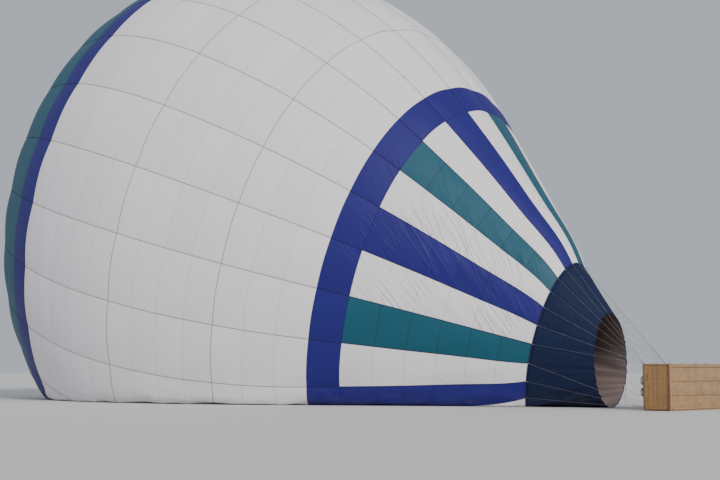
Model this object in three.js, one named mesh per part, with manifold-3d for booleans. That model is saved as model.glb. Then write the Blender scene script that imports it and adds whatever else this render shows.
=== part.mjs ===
// Large passenger hot air balloon, laid out on the ground during hot inflation.
//
// Millimetres, +Z up. The envelope lies along X with its crown toward -X and its mouth toward +X,
// and the gondola (burner, load frame and basket) lies on its long side in front of the mouth.
// The origin is on the floor, under the middle of the whole object.

import * as THREE from 'three';
import { mergeVertices } from 'three/addons/utils/BufferGeometryUtils.js';
import Module from 'manifold-3d';

const wasm = await Module();
wasm.setup();

// Driving dimensions

const GAP = 0.3; // play between pieces that touch
const FLOOR = 0;
const SKIN = 10; // thickness of every fabric shell

// The envelope is a skin of gores. Every point on it is found from the distance along a gore,
// measured from the mouth, and the angle round the axis (0 at -Y, 90 degrees on top).
const GORES = 28;
const FIRST_SEAM = 27.5; // degrees, one of the seams between two gores
const ENVELOPE = {
  mouthRadius: 2600,
  mouthHeight: 2475, // centre of the mouth above the floor
  rise: 16.4, // degrees that the axis climbs toward the crown
  coneAngle: 40.9, // degrees between a gore and the axis at the mouth
  turnLength: 46000, // gore length over which an even turn would bring it flat
  turnPower: 1.79,
  shoulderStart: 31000, // where the crown's shoulder starts to turn faster
  shoulderRadius: 6000,
  upright: 1.116, // sections are this much taller, and narrower, than round
  mouthUpright: 0.193, // more of the same at the mouth, fading over mouthFade
  mouthFade: 10400,
  mouthStretch: 0.13, // the mouth is held taller still, without getting narrower
  stretchFade: 2100,
  slack: 0.065, // loss of radius where the lower cone hangs slack
  slackAt: 5850,
  slackLength: 5200,
};

// Colour zones by rows of fabric panels, counted from the mouth
const PANEL = 1420;
const ARCH_START = 6 * PANEL;
const ARCH_END = 7 * PANEL;
const MAIN_SEAM = 14 * PANEL;
const CROWN_RING_START = 19 * PANEL;
const CROWN_RING_END = 28650;
const CROWN_CAP_START = CROWN_RING_END + 4 * PANEL;
const VALVE_RADIUS = 3600;
const VALVE_OVERLAP = 350;

// Four sectors of seven gores each, in order round the axis
const SECTORS = ['left', 'top', 'right', 'floor'];
const SECTOR_GORES = GORES / SECTORS.length;
const SECTOR_START = -6; // the left sector's first seam

const MOUTH_TAPE_WIDTH = 60;
const SCOOP = { length: 2570, halfWidth: 1190, top: 3810, steps: 3 };

const FRAME_FROM_MOUTH = 4710; // load frame's middle plane, along X
const WIRE = { radius: 7, lug: 20, pitch: 32, sides: 6 };

// The gondola is described standing up, as it is flown, in its own axes: X along the basket,
// Y across it and Z up, with Z = 0 under the runners.
const BASKET = { length: 4800, width: 1720, top: 1150, wall: 40 };
const RUNNER = { height: 40, width: 70, count: 4, setback: 100 };
const BASKET_FLOOR = { thickness: 30, overhang: 15 };
const RIM = { width: 70, height: 60 };
const PILOT_HALF_LENGTH = 600;
const CROSS_PARTITION_AT = 1500;
const PARTITION = { thickness: 40, top: 1080 };
const LOAD_FRAME = { height: 2000, half: 850, tube: 25 };
const UPRIGHT = { radius: 16, spread: 300, endRise: 6 }; // endRise: a leaning end's tilt in height
const GIMBAL_RING = { halfLength: 640, halfWidth: 600, tube: 18, pin: 60, socket: 70 };
const CORNER_SWELL = 1.02; // the balls at the ring's corners stand this much proud of its tubes
const TRUNNION = { radius: 14, sleeve: 26 };
const BURNER = {
  offsetX: 245, offsetY: 225, coilRadius: 180, coilBore: 135, coilHeight: 430, coilBase: 90,
  plate: 12, block: 130, beam: 30, beamReach: 120,
};
const CYLINDER = {
  radius: 180, height: 900, dome: 70, footRadius: 144, footHeight: 30, collarRadius: 108,
  collarHeight: 70, x: 395, y: 625,
};

const COLOURS = {
  white: 0xe6e1e6, navy: 0x1d2a86, teal: 0x0f6470, scoop: 0x101a44, tape: 0x2a2c33,
  wire: 0xa8a49a, steel: 0x9a9da1, wicker: 0xa9743c, leather: 0x6b3d22, wood: 0x8a6238,
  pole: 0xd8d2c2, tank: 0xb5b8ba, coil: 0x8b8e90,
};

// Materials and manifold helpers

function cloth(colour) {
  return new THREE.MeshStandardMaterial({ color: colour, roughness: 0.8, metalness: 0 });
}

function metal(colour) {
  return new THREE.MeshStandardMaterial({ color: colour, roughness: 0.35, metalness: 0.9 });
}

function dull(colour) {
  return new THREE.MeshStandardMaterial({ color: colour, roughness: 0.7, metalness: 0 });
}

function named(name, geometry, material) {
  const mesh = new THREE.Mesh(geometry, material);
  mesh.name = name;
  return mesh;
}

function solidOf(geometry) {
  const bare = geometry.clone();
  bare.deleteAttribute('normal');
  bare.deleteAttribute('uv');
  const merged = mergeVertices(bare, 1e-3);
  return new wasm.Manifold(new wasm.Mesh({
    numProp: 3,
    vertProperties: new Float32Array(merged.attributes.position.array),
    triVerts: new Uint32Array(merged.index.array),
  }));
}

function geometryOf(solid) {
  const mesh = solid.getMesh();
  const geometry = new THREE.BufferGeometry();
  geometry.setAttribute('position', new THREE.BufferAttribute(mesh.vertProperties, 3));
  geometry.setIndex(new THREE.BufferAttribute(mesh.triVerts, 1));
  geometry.computeVertexNormals();
  return geometry;
}

function joined(geometries) {
  return geometryOf(geometries.map(solidOf).reduce((all, next) => all.add(next)));
}

function box(x0, x1, y0, y1, z0, z1) {
  const geometry = new THREE.BoxGeometry(x1 - x0, y1 - y0, z1 - z0);
  geometry.translate((x0 + x1) / 2, (y0 + y1) / 2, (z0 + z1) / 2);
  return geometry;
}

// A round bar between two points
function bar(from, to, radius, sides = 12) {
  const along = new THREE.Vector3().subVectors(to, from);
  const geometry = new THREE.CylinderGeometry(radius, radius, along.length(), sides);
  geometry.translate(0, along.length() / 2, 0);
  const turn = new THREE.Quaternion().setFromUnitVectors(
    new THREE.Vector3(0, 1, 0), along.clone().normalize());
  geometry.applyQuaternion(turn);
  geometry.translate(from.x, from.y, from.z);
  return geometry;
}

// Envelope surface

// The gore's line in its own plane: distance from the axis and distance along it
function traceGore() {
  const flat = THREE.MathUtils.degToRad(-90);
  const cone = THREE.MathUtils.degToRad(ENVELOPE.coneAngle);
  const step = 10;
  const line = [];
  let radius = ENVELOPE.mouthRadius;
  let along = 0;
  let angle = cone;
  for (let s = 0; radius > 0; s += step) {
    line.push({ s, radius, along, angle });
    if (s < ENVELOPE.shoulderStart) {
      angle = cone + (flat - cone) * (s / ENVELOPE.turnLength) ** ENVELOPE.turnPower;
    } else {
      angle = Math.max(flat, angle - step / ENVELOPE.shoulderRadius);
    }
    radius += Math.sin(angle) * step;
    along += Math.cos(angle) * step;
  }
  return line;
}

const GORE_LINE = traceGore();
const GORE_STEP = GORE_LINE[1].s;
const GORE_LENGTH = GORE_LINE.at(-1).s;
const FLAT_START = GORE_LINE.find((point) => point.angle <= -Math.PI / 2).s;
const VALVE_EDGE = GORE_LENGTH - VALVE_RADIUS;

const RISE = THREE.MathUtils.degToRad(ENVELOPE.rise);
const AXIS = new THREE.Vector3(-Math.cos(RISE), 0, Math.sin(RISE)); // from mouth to crown
const OVER = new THREE.Vector3(Math.sin(RISE), 0, Math.cos(RISE)); // square to it, upward
const MOUTH_CENTRE = new THREE.Vector3(0, 0, ENVELOPE.mouthHeight);

function bump(s, centre, length) {
  return Math.exp(-(((s - centre) / length) ** 2));
}

// A point on the outer skin before the floor flattens it; s may run a little below 0
function freePoint(s, degrees) {
  const place = THREE.MathUtils.clamp(s, 0, GORE_LENGTH) / GORE_STEP;
  const low = GORE_LINE[Math.min(Math.floor(place), GORE_LINE.length - 2)];
  const high = GORE_LINE[Math.min(Math.floor(place), GORE_LINE.length - 2) + 1];
  const part = place - low.s / GORE_STEP;
  const cone = THREE.MathUtils.degToRad(ENVELOPE.coneAngle);
  const beyond = Math.min(s, 0);
  const radius = THREE.MathUtils.lerp(low.radius, high.radius, part) + beyond * Math.sin(cone);
  const along = THREE.MathUtils.lerp(low.along, high.along, part) + beyond * Math.cos(cone);
  const taken = radius * (1 - ENVELOPE.slack * bump(s, ENVELOPE.slackAt, ENVELOPE.slackLength));
  const upright = ENVELOPE.upright + ENVELOPE.mouthUpright * bump(s, 0, ENVELOPE.mouthFade);
  const taller = upright + ENVELOPE.mouthStretch * bump(s, 0, ENVELOPE.stretchFade);
  const turn = THREE.MathUtils.degToRad(degrees);
  return MOUTH_CENTRE.clone()
    .addScaledVector(AXIS, along)
    .addScaledVector(OVER, taken * taller * Math.sin(turn))
    .add(new THREE.Vector3(0, (-taken / upright) * Math.cos(turn), 0));
}

// A point at a depth below the outer skin and drawn a little along it, toward the crown where
// drawn is positive. It rests on the floor where the free skin would pass it.
function skinPoint(point, s, degrees, depth, drawn = 0) {
  const lengthways = point(s + 20, degrees).sub(point(s - 20, degrees)).normalize();
  const round = point(s, degrees + 0.1).sub(point(s, degrees - 0.1)).normalize();
  const inward = lengthways.clone().cross(round).normalize();
  const place = point(s, degrees).addScaledVector(inward, depth).addScaledVector(lengthways, drawn);
  place.z = Math.max(place.z, FLOOR + Math.max(depth, 0));
  return place;
}

function seam(index) {
  return FIRST_SEAM + (index * 360) / GORES;
}

// Closes a grid of outer and inner points into one shell. The rows run along the gore, the
// columns round the axis; a ring joins its last column to its first. Edge faces that meet a
// neighbour's are split along the same diagonal, so that the play between them is even.
function shellOf(outer, inner, ring) {
  const rows = outer.length;
  const columns = outer[0].length;
  const positions = [...outer.flat(), ...inner.flat()].flatMap((p) => [p.x, p.y, p.z]);
  const index = [];
  const at = (side, row, column) => (side * rows + row) * columns + (column % columns);
  const quad = (a, b, c, d) => index.push(a, b, c, a, c, d);
  const spans = ring ? columns : columns - 1;
  for (let row = 0; row < rows - 1; row += 1) {
    for (let column = 0; column < spans; column += 1) {
      const next = column + 1;
      quad(at(0, row, column), at(0, row, next), at(0, row + 1, next), at(0, row + 1, column));
      quad(at(1, row, column), at(1, row + 1, column), at(1, row + 1, next), at(1, row, next));
    }
  }
  for (let column = 0; column < spans; column += 1) {
    const next = column + 1;
    const last = rows - 1;
    quad(at(0, 0, next), at(0, 0, column), at(1, 0, column), at(1, 0, next));
    quad(at(0, last, next), at(1, last, next), at(1, last, column), at(0, last, column));
  }
  if (!ring) {
    for (let row = 0; row < rows - 1; row += 1) {
      const last = columns - 1;
      quad(at(0, row, 0), at(0, row + 1, 0), at(1, row + 1, 0), at(1, row, 0));
      quad(at(0, row, last), at(1, row, last), at(1, row + 1, last), at(0, row + 1, last));
    }
  }
  const geometry = new THREE.BufferGeometry();
  geometry.setAttribute('position', new THREE.BufferAttribute(new Float32Array(positions), 3));
  geometry.setIndex(index);
  geometry.computeVertexNormals();
  return geometry;
}

// Even distances along the gore, with both ends
function rowsBetween(start, end, steps) {
  return Array.from({ length: steps + 1 }, (_, row) => start + ((end - start) * row) / steps);
}

// Part of the skin with a row of points at each distance in a list, on some of the seams
function skinPatch(distances, firstSeam, gores) {
  const ring = gores === GORES;
  const grids = [0, SKIN].map((depth) => {
    const last = distances.length - 1;
    return distances.map((s, row) => {
      const drawn = (row === 0 ? GAP / 2 : 0) - (row === last ? GAP / 2 : 0);
      const columns = [];
      for (let column = 0; column < gores + (ring ? 0 : 1); column += 1) {
        columns.push(skinPoint(freePoint, s, seam(firstSeam + column), depth, drawn));
      }
      if (!ring) narrow(columns);
      return columns;
    });
  });
  return shellOf(grids[0], grids[1], ring);
}

// Draws the two edge points of a row in by half the gap, so that sectors don't touch
function narrow(columns) {
  const draw = (edge, neighbour) => {
    const way = neighbour.clone().sub(edge).setLength(GAP);
    edge.add(way);
  };
  draw(columns[0], columns[1]);
  draw(columns[columns.length - 1], columns[columns.length - 2]);
}

function envelope() {
  const group = new THREE.Group();
  // columns: name, rows of points, colour, whether it is one ring
  const zones = [
    ['mouth_tape', [-MOUTH_TAPE_WIDTH, 0], COLOURS.tape, true],
    ['lower_cone', rowsBetween(0, ARCH_START, 5), COLOURS.white, false],
    ['arch_ring', [ARCH_START, ARCH_END], COLOURS.navy, true],
    ['main_lower', rowsBetween(ARCH_END, MAIN_SEAM, 5), COLOURS.white, false],
    ['main_upper', rowsBetween(MAIN_SEAM, CROWN_RING_START, 4), COLOURS.white, false],
    ['crown_ring', [CROWN_RING_START, CROWN_RING_END], COLOURS.navy, true],
    ['crown_shoulder', rowsBetween(CROWN_RING_END, CROWN_CAP_START, 3), COLOURS.teal, false],
    ['crown_cap', [...rowsBetween(CROWN_CAP_START, FLAT_START, 3), VALVE_EDGE], COLOURS.teal, false],
  ];
  for (const [name, distances, colour, whole] of zones) {
    if (whole) {
      group.add(named(name, skinPatch(distances, 0, GORES), cloth(colour)));
      continue;
    }
    SECTORS.forEach((sector, number) => {
      const first = SECTOR_START + number * SECTOR_GORES;
      const patch = skinPatch(distances, first, SECTOR_GORES);
      group.add(named(`${name}_${sector}`, patch, cloth(colour)));
    });
  }
  group.add(parachuteValve());
  return group;
}

// The valve is a panel that closes the crown from inside
function parachuteValve() {
  const reach = VALVE_RADIUS + VALVE_OVERLAP;
  const edge = freePoint(GORE_LENGTH - reach, 0);
  const plane = edge.clone().sub(MOUTH_CENTRE).dot(AXIS) - SKIN - GAP;
  const rim = (depth) => {
    const points = [];
    for (let column = 0; column < GORES; column += 1) {
      const turn = THREE.MathUtils.degToRad(seam(column));
      points.push(MOUTH_CENTRE.clone()
        .addScaledVector(AXIS, plane - depth)
        .addScaledVector(OVER, reach * ENVELOPE.upright * Math.sin(turn))
        .add(new THREE.Vector3(0, (-reach / ENVELOPE.upright) * Math.cos(turn), 0)));
    }
    return points;
  };
  const points = [...rim(0), ...rim(SKIN)];
  const index = [];
  for (let column = 0; column < GORES; column += 1) {
    const next = (column + 1) % GORES;
    index.push(column, column + GORES, next + GORES, column, next + GORES, next);
    if (column > 0 && column < GORES - 1) {
      index.push(0, column, column + 1);
      index.push(GORES, GORES + column + 1, GORES + column);
    }
  }
  const geometry = new THREE.BufferGeometry();
  const flat = new Float32Array(points.flatMap((p) => [p.x, p.y, p.z]));
  geometry.setAttribute('position', new THREE.BufferAttribute(flat, 3));
  geometry.setIndex(index);
  geometry.computeVertexNormals();
  return named('parachute_valve', geometry, cloth(COLOURS.white));
}

// Scoop: a skirt from the mouth tape to a smaller upright opening in front of it

// On the scoop's skin s runs from 0 at its rim to the scoop's length at the mouth tape
function scoopPoint(s, degrees) {
  const turn = THREE.MathUtils.degToRad(degrees);
  const root = freePoint(-MOUTH_TAPE_WIDTH, degrees);
  root.z = Math.max(root.z, FLOOR);
  const middle = SCOOP.top / 2;
  const rim = new THREE.Vector3(
    SCOOP.length,
    -SCOOP.halfWidth * Math.cos(turn),
    middle + (SCOOP.top - middle) * Math.sin(turn));
  return rim.lerp(root, s / SCOOP.length);
}

function scoop() {
  const grids = [0, SKIN].map((depth) => {
    const rows = [];
    for (let row = 0; row <= SCOOP.steps; row += 1) {
      const atTape = row === SCOOP.steps;
      const columns = [];
      for (let column = 0; column < GORES; column += 1) {
        columns.push(atTape
          ? skinPoint(freePoint, -MOUTH_TAPE_WIDTH, seam(column), depth, -GAP / 2)
          : skinPoint(scoopPoint, (SCOOP.length * row) / SCOOP.steps, seam(column), depth));
      }
      rows.push(columns);
    }
    return rows;
  });
  return named('scoop', shellOf(grids[0], grids[1], true), cloth(COLOURS.scoop));
}

// Gondola, standing up in its own axes

function basketFloor() {
  const x = BASKET.length / 2 + BASKET_FLOOR.overhang;
  const y = BASKET.width / 2 + BASKET_FLOOR.overhang;
  const z = RUNNER.height + GAP;
  return named('basket_floor', box(-x, x, -y, y, z, z + BASKET_FLOOR.thickness),
    dull(COLOURS.wood));
}

const FLOOR_TOP = RUNNER.height + GAP + BASKET_FLOOR.thickness;

function runners() {
  const group = new THREE.Group();
  const length = BASKET.length / 2 - RUNNER.setback;
  const pitch = (BASKET.width - 2 * RUNNER.width) / (RUNNER.count - 1);
  for (let number = 0; number < RUNNER.count; number += 1) {
    const y = -BASKET.width / 2 + RUNNER.width + number * pitch;
    const beam = box(-length, length, y - RUNNER.width / 2, y + RUNNER.width / 2, 0, RUNNER.height);
    group.add(named(`basket_runner_${number + 1}`, beam, dull(COLOURS.wood)));
  }
  return group;
}

function basketWalls() {
  const group = new THREE.Group();
  const x = BASKET.length / 2;
  const y = BASKET.width / 2;
  const low = FLOOR_TOP + GAP;
  const high = BASKET.top;
  const { wall } = BASKET;
  // columns: name, x range, y range
  const walls = [
    ['basket_wall_ground', -x, x, -y, -y + wall],
    ['basket_wall_sky', -x, x, y - wall, y],
    ['basket_wall_left', -x, -x + wall, -y + wall + GAP, y - wall - GAP],
    ['basket_wall_right', x - wall, x, -y + wall + GAP, y - wall - GAP],
  ];
  for (const [name, x0, x1, y0, y1] of walls) {
    group.add(named(name, box(x0, x1, y0, y1, low, high), dull(COLOURS.wicker)));
  }
  return group;
}

function basketRim() {
  const x = BASKET.length / 2 + (RIM.width - BASKET.wall) / 2;
  const y = BASKET.width / 2 + (RIM.width - BASKET.wall) / 2;
  const z = BASKET.top + GAP;
  const outer = solidOf(box(-x, x, -y, y, z, z + RIM.height));
  const inside = box(-x + RIM.width, x - RIM.width, -y + RIM.width, y - RIM.width,
    z - 1, z + RIM.height + 1);
  return named('basket_rim', geometryOf(outer.subtract(solidOf(inside))), dull(COLOURS.leather));
}

function partitions() {
  const group = new THREE.Group();
  const y = BASKET.width / 2 - BASKET.wall - GAP;
  const low = FLOOR_TOP + GAP;
  const half = PARTITION.thickness / 2;
  const inner = BASKET.length / 2 - BASKET.wall - GAP;
  for (const [side, sign] of [['left', -1], ['right', 1]]) {
    const span = (a, b) => [Math.min(sign * a, sign * b), Math.max(sign * a, sign * b)];
    const pilot = span(PILOT_HALF_LENGTH - half, PILOT_HALF_LENGTH + half);
    group.add(named(`pilot_partition_${side}`,
      box(...pilot, -y, y, low, PARTITION.top), dull(COLOURS.wicker)));
    const long = span(PILOT_HALF_LENGTH + half + GAP, inner);
    const cross = span(CROSS_PARTITION_AT - half, CROSS_PARTITION_AT + half);
    group.add(named(`passenger_partition_${side}`, joined([
      box(...long, -half, half, low, PARTITION.top),
      box(...cross, -y, y, low, PARTITION.top),
    ]), dull(COLOURS.wicker)));
  }
  return group;
}

function fuelCylinders() {
  const group = new THREE.Group();
  const { radius, height, dome, footRadius, footHeight, collarRadius, collarHeight } = CYLINDER;
  const profile = [
    [0, 0], [footRadius, 0], [footRadius, footHeight], [radius, dome], [radius, height - dome],
    [footRadius, height - footHeight / 2], [collarRadius, height],
    [collarRadius, height + collarHeight], [0, height + collarHeight],
  ].map(([r, z]) => new THREE.Vector2(r, z));
  const places = [[-1, -1], [1, -1], [-1, 1], [1, 1]];
  places.forEach(([signX, signY], number) => {
    const geometry = new THREE.LatheGeometry(profile, 20);
    geometry.rotateX(Math.PI / 2);
    const tank = named(`fuel_cylinder_${number + 1}`, geometry, metal(COLOURS.tank));
    tank.position.set(signX * CYLINDER.x, signY * CYLINDER.y, FLOOR_TOP + GAP);
    group.add(tank);
  });
  return group;
}

// Square load frame that the wires, the uprights and the gimbal ring hang on
function loadFrame() {
  const { half, tube, height } = LOAD_FRAME;
  const corners = [[-1, -1], [1, -1], [1, 1], [-1, 1]].map(
    ([x, y]) => new THREE.Vector3(x * half, y * half, height));
  const tubes = corners.map((corner, number) => {
    const along = corners[(number + 1) % 4].clone().sub(corner).setLength(tube);
    return bar(corner.clone().sub(along), corners[(number + 1) % 4].clone().add(along), tube);
  });
  const sockets = [-1, 1].map((side) => bar(
    new THREE.Vector3(side * (half - tube / 2), 0, height),
    new THREE.Vector3(side * (GIMBAL_RING.halfLength + GIMBAL_RING.pin), 0, height),
    TRUNNION.sleeve));
  return named('load_frame', joined([...tubes, ...sockets]), metal(COLOURS.steel));
}

// Pairs of rods that hold the load frame above the basket's rim
function uprights() {
  const group = new THREE.Group();
  const foot = BASKET.top + GAP + RIM.height + GAP + UPRIGHT.endRise;
  const head = LOAD_FRAME.height - LOAD_FRAME.tube - GAP - UPRIGHT.endRise;
  const rimY = BASKET.width / 2 - BASKET.wall / 2;
  const corners = [[-1, -1], [1, -1], [-1, 1], [1, 1]];
  corners.forEach(([signX, signY], number) => {
    const rods = [-1, 1].map((way) => {
      const x = signX * LOAD_FRAME.half;
      const low = new THREE.Vector3(x + way * UPRIGHT.spread, signY * rimY, foot);
      const high = new THREE.Vector3(x + way * UPRIGHT.radius * 0.8, signY * LOAD_FRAME.half, head);
      return bar(low, high, UPRIGHT.radius);
    });
    group.add(named(`uprights_${number + 1}`, joined(rods), dull(COLOURS.pole)));
  });
  return group;
}

// Ring that swings about the frame's X axis and carries the burner's Y axis
function gimbalRing() {
  const { halfLength, halfWidth, tube, pin, socket } = GIMBAL_RING;
  const z = LOAD_FRAME.height;
  const corner = (x, y) => new THREE.Vector3(x * halfLength, y * halfWidth, z);
  const tubes = [
    bar(corner(-1, -1), corner(1, -1), tube), bar(corner(1, -1), corner(1, 1), tube),
    bar(corner(1, 1), corner(-1, 1), tube), bar(corner(-1, 1), corner(-1, -1), tube),
    ...[[-1, -1], [1, -1], [1, 1], [-1, 1]].map(([x, y]) => {
      const ball = new THREE.SphereGeometry(tube * CORNER_SWELL, 12, 8);
      ball.translate(x * halfLength, y * halfWidth, z);
      return ball;
    }),
  ];
  const pins = [-1, 1].map((side) => bar(
    new THREE.Vector3(side * halfLength, 0, z),
    new THREE.Vector3(side * (halfLength + pin - GAP), 0, z), TRUNNION.radius));
  const sockets = [-1, 1].map((side) => bar(
    new THREE.Vector3(0, side * halfWidth, z),
    new THREE.Vector3(0, side * (halfWidth - socket), z), TRUNNION.sleeve));
  return named('gimbal_ring', joined([...tubes, ...pins, ...sockets]), metal(COLOURS.steel));
}

// Beams that carry the four burners between the ring's sockets
function burnerBeams() {
  const z = LOAD_FRAME.height;
  const { offsetX, offsetY, beamReach } = BURNER;
  const half = BURNER.beam / 2;
  const reach = GIMBAL_RING.halfWidth - GIMBAL_RING.socket - GAP;
  const end = offsetX + beamReach;
  const parts = [
    bar(new THREE.Vector3(0, -reach, z), new THREE.Vector3(0, reach, z), TRUNNION.radius),
    box(-end, end, -offsetY - half, -offsetY + half, z - half, z + half),
    box(-end, end, offsetY - half, offsetY + half, z - half, z + half),
    box(-half, half, -offsetY, offsetY, z - half, z + half),
  ];
  return named('burner_beams', joined(parts), metal(COLOURS.steel));
}

// One burner unit: a coil open upward, on a plate above its valve block
function burnerUnit(name, x, y) {
  const base = LOAD_FRAME.height + BURNER.beam / 2 + GAP;
  const coilLow = base + BURNER.coilBase;
  const coil = new THREE.LatheGeometry([
    [BURNER.coilBore, coilLow], [BURNER.coilRadius, coilLow],
    [BURNER.coilRadius, coilLow + BURNER.coilHeight], [BURNER.coilBore, coilLow + BURNER.coilHeight],
    [BURNER.coilBore, coilLow],
  ].map(([r, z]) => new THREE.Vector2(r, z)), 24);
  coil.rotateX(Math.PI / 2);
  const { coilRadius, plate: thickness } = BURNER;
  const plate = new THREE.CylinderGeometry(coilRadius, coilRadius, thickness, 24);
  plate.rotateX(Math.PI / 2);
  plate.translate(0, 0, coilLow);
  const half = BURNER.block / 2;
  const block = box(-half, half, -half, half, base, coilLow);
  const unit = named(name, joined([coil, plate, block]), metal(COLOURS.coil));
  unit.position.set(x, y, 0);
  return unit;
}

function burnerUnits() {
  const group = new THREE.Group();
  const places = [[-1, -1], [1, -1], [-1, 1], [1, 1]];
  places.forEach(([signX, signY], number) => {
    group.add(burnerUnit(`burner_${number + 1}`, signX * BURNER.offsetX, signY * BURNER.offsetY));
  });
  return group;
}

function gondola() {
  const group = new THREE.Group();
  group.add(basketFloor(), runners(), basketWalls(), basketRim(), partitions());
  group.add(fuelCylinders(), loadFrame(), uprights());
  group.add(gimbalRing(), burnerBeams(), burnerUnits());
  // laid on its long side: its up is -X, its width stands upright
  const turn = new THREE.Matrix4().makeBasis(
    new THREE.Vector3(0, -1, 0), new THREE.Vector3(0, 0, 1), new THREE.Vector3(-1, 0, 0));
  group.quaternion.setFromRotationMatrix(turn);
  group.position.set(FRAME_FROM_MOUTH + LOAD_FRAME.height, 0,
    BASKET.width / 2 + BASKET_FLOOR.overhang);
  return group;
}

// Flying wires: from each corner of the load frame to the mouth tape

function flyingWires() {
  const group = new THREE.Group();
  const middle = BASKET.width / 2 + BASKET_FLOOR.overhang;
  // columns: name, side along Y, up or down, seams on the mouth tape
  const corners = [
    ['left_low', -1, -1, [-5, -4, -3]],
    ['left_high', -1, 1, [-1, 1, 4]],
    ['right_high', 1, 1, [6, 8, 10]],
    ['right_low', 1, -1, [12, 14, 15]],
  ];
  const x = FRAME_FROM_MOUTH - LOAD_FRAME.tube - GAP - WIRE.lug;
  for (const [name, side, up, seams] of corners) {
    const y = side * (LOAD_FRAME.half - WIRE.pitch);
    const z = middle + up * LOAD_FRAME.half;
    const reach = WIRE.pitch + WIRE.lug;
    const lug = box(x - WIRE.lug, x + WIRE.lug, y - reach, y + reach, z - WIRE.lug, z + WIRE.lug);
    const wires = seams.map((number, order) => {
      const start = skinPoint(
        freePoint, -MOUTH_TAPE_WIDTH / 2, seam(number), -WIRE.radius - GAP);
      const shift = (order - 1) * WIRE.pitch * Math.sign(side * up);
      return bar(start, new THREE.Vector3(x, y + shift, z), WIRE.radius, WIRE.sides);
    });
    group.add(named(`flying_wires_${name}`, joined([lug, ...wires]), metal(COLOURS.wire)));
  }
  return group;
}

const balloon = new THREE.Group();
balloon.name = 'hot_air_balloon';
balloon.add(envelope(), scoop(), gondola(), flyingWires());

// The origin goes under the middle of the whole object
balloon.updateMatrixWorld(true);
const bounds = new THREE.Box3().setFromObject(balloon, true);
const middle = bounds.getCenter(new THREE.Vector3());
balloon.position.set(-middle.x, -middle.y, -bounds.min.z);

export default balloon;
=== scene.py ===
import math

import bmesh
import bpy
import numpy as np
from mathutils import Matrix, Vector


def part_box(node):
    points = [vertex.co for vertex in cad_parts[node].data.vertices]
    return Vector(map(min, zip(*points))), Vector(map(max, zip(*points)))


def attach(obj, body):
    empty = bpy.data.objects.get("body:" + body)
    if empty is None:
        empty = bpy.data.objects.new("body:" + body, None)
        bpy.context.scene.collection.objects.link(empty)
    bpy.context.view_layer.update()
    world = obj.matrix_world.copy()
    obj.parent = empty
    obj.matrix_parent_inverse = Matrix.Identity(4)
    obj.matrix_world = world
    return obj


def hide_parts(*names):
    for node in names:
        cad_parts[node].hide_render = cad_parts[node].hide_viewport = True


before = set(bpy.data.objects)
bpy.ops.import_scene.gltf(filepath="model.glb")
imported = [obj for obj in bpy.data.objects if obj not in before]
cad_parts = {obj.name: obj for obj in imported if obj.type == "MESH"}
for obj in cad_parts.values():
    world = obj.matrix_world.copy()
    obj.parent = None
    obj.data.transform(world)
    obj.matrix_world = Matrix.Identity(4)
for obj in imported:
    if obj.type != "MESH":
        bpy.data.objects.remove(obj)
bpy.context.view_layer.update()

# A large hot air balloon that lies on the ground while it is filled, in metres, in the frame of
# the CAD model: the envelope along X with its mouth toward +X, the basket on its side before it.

bl_info = {
    "name": "Balloon on the Ground",
    "version": (1, 0, 0),
    "blender": (4, 5, 0),
    "location": "3D View > Sidebar > Balloon",
    "description": "A large hot air balloon laid out for inflation, with its burner and basket",
    "category": "Add Mesh",
}

# Envelope, with the same values as the CAD source

GORES = 28
GORE_DEGREES = 360 / GORES
FIRST_SEAM = 27.5
MOUTH_RADIUS, MOUTH_HEIGHT = 2.6, 2.475
RISE = math.radians(16.4)
CONE_ANGLE = math.radians(40.9)
TURN_LENGTH, TURN_POWER = 46.0, 1.79
SHOULDER_START, SHOULDER_RADIUS = 31.0, 6.0
UPRIGHT, MOUTH_UPRIGHT, MOUTH_FADE = 1.116, 0.193, 10.4
MOUTH_STRETCH, STRETCH_FADE = 0.13, 2.1
SLACK, SLACK_AT, SLACK_LENGTH = 0.065, 5.85, 5.2
PANEL = 1.42
ARCH_START, ARCH_END, MAIN_SEAM = 6 * PANEL, 7 * PANEL, 14 * PANEL
RING_ROW = 19
CROWN_RING_START, CROWN_RING_END = RING_ROW * PANEL, 28.65
VALVE_RADIUS = 3.6
VALVE_REACH = VALVE_RADIUS + 0.35
SECTORS = ("left", "top", "right", "floor")
SECTOR_GORES = GORES // len(SECTORS)
SECTOR_START = -6
GORES_ON_GROUND = range(14, 23)
TAPE_WIDTH = 0.06
CLOTH, GAP = 0.008, 0.0003
AXIS = np.array([-math.cos(RISE), 0.0, math.sin(RISE)])
OVER = np.array([math.sin(RISE), 0.0, math.cos(RISE)])

# Looks of the cloth: the lower cone hangs slack in the gores WRINKLED_ASIDE to each side of
# WRINKLED_TOP, and the cloth that lies on the ground has TUCKS tucks to a gore. A fade is the
# length over which something dies away

CONE_COLOURS = ("navy", "white", "teal", "white")
WRINKLED_TOP, WRINKLED_ASIDE = 4.36, 5.06
LOW_BULGE, LOW_BULGE_FADE = 0.5, 9
SEWN_FLAT_AT_MOUTH, SEWN_FLAT_AT_CROWN = 1.6, 1.2
FOLD_FADE, SWAY = 0.8, 0.02
PULL_HEIGHT, PULL_SLANT, PULLS_AT, PULLS_FADE = 0.018, 0.75, 4.5, 3.6
TUCKS, TUCK_DEPTH = 4, 0.1

# Tapes, valve and scoop

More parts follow.
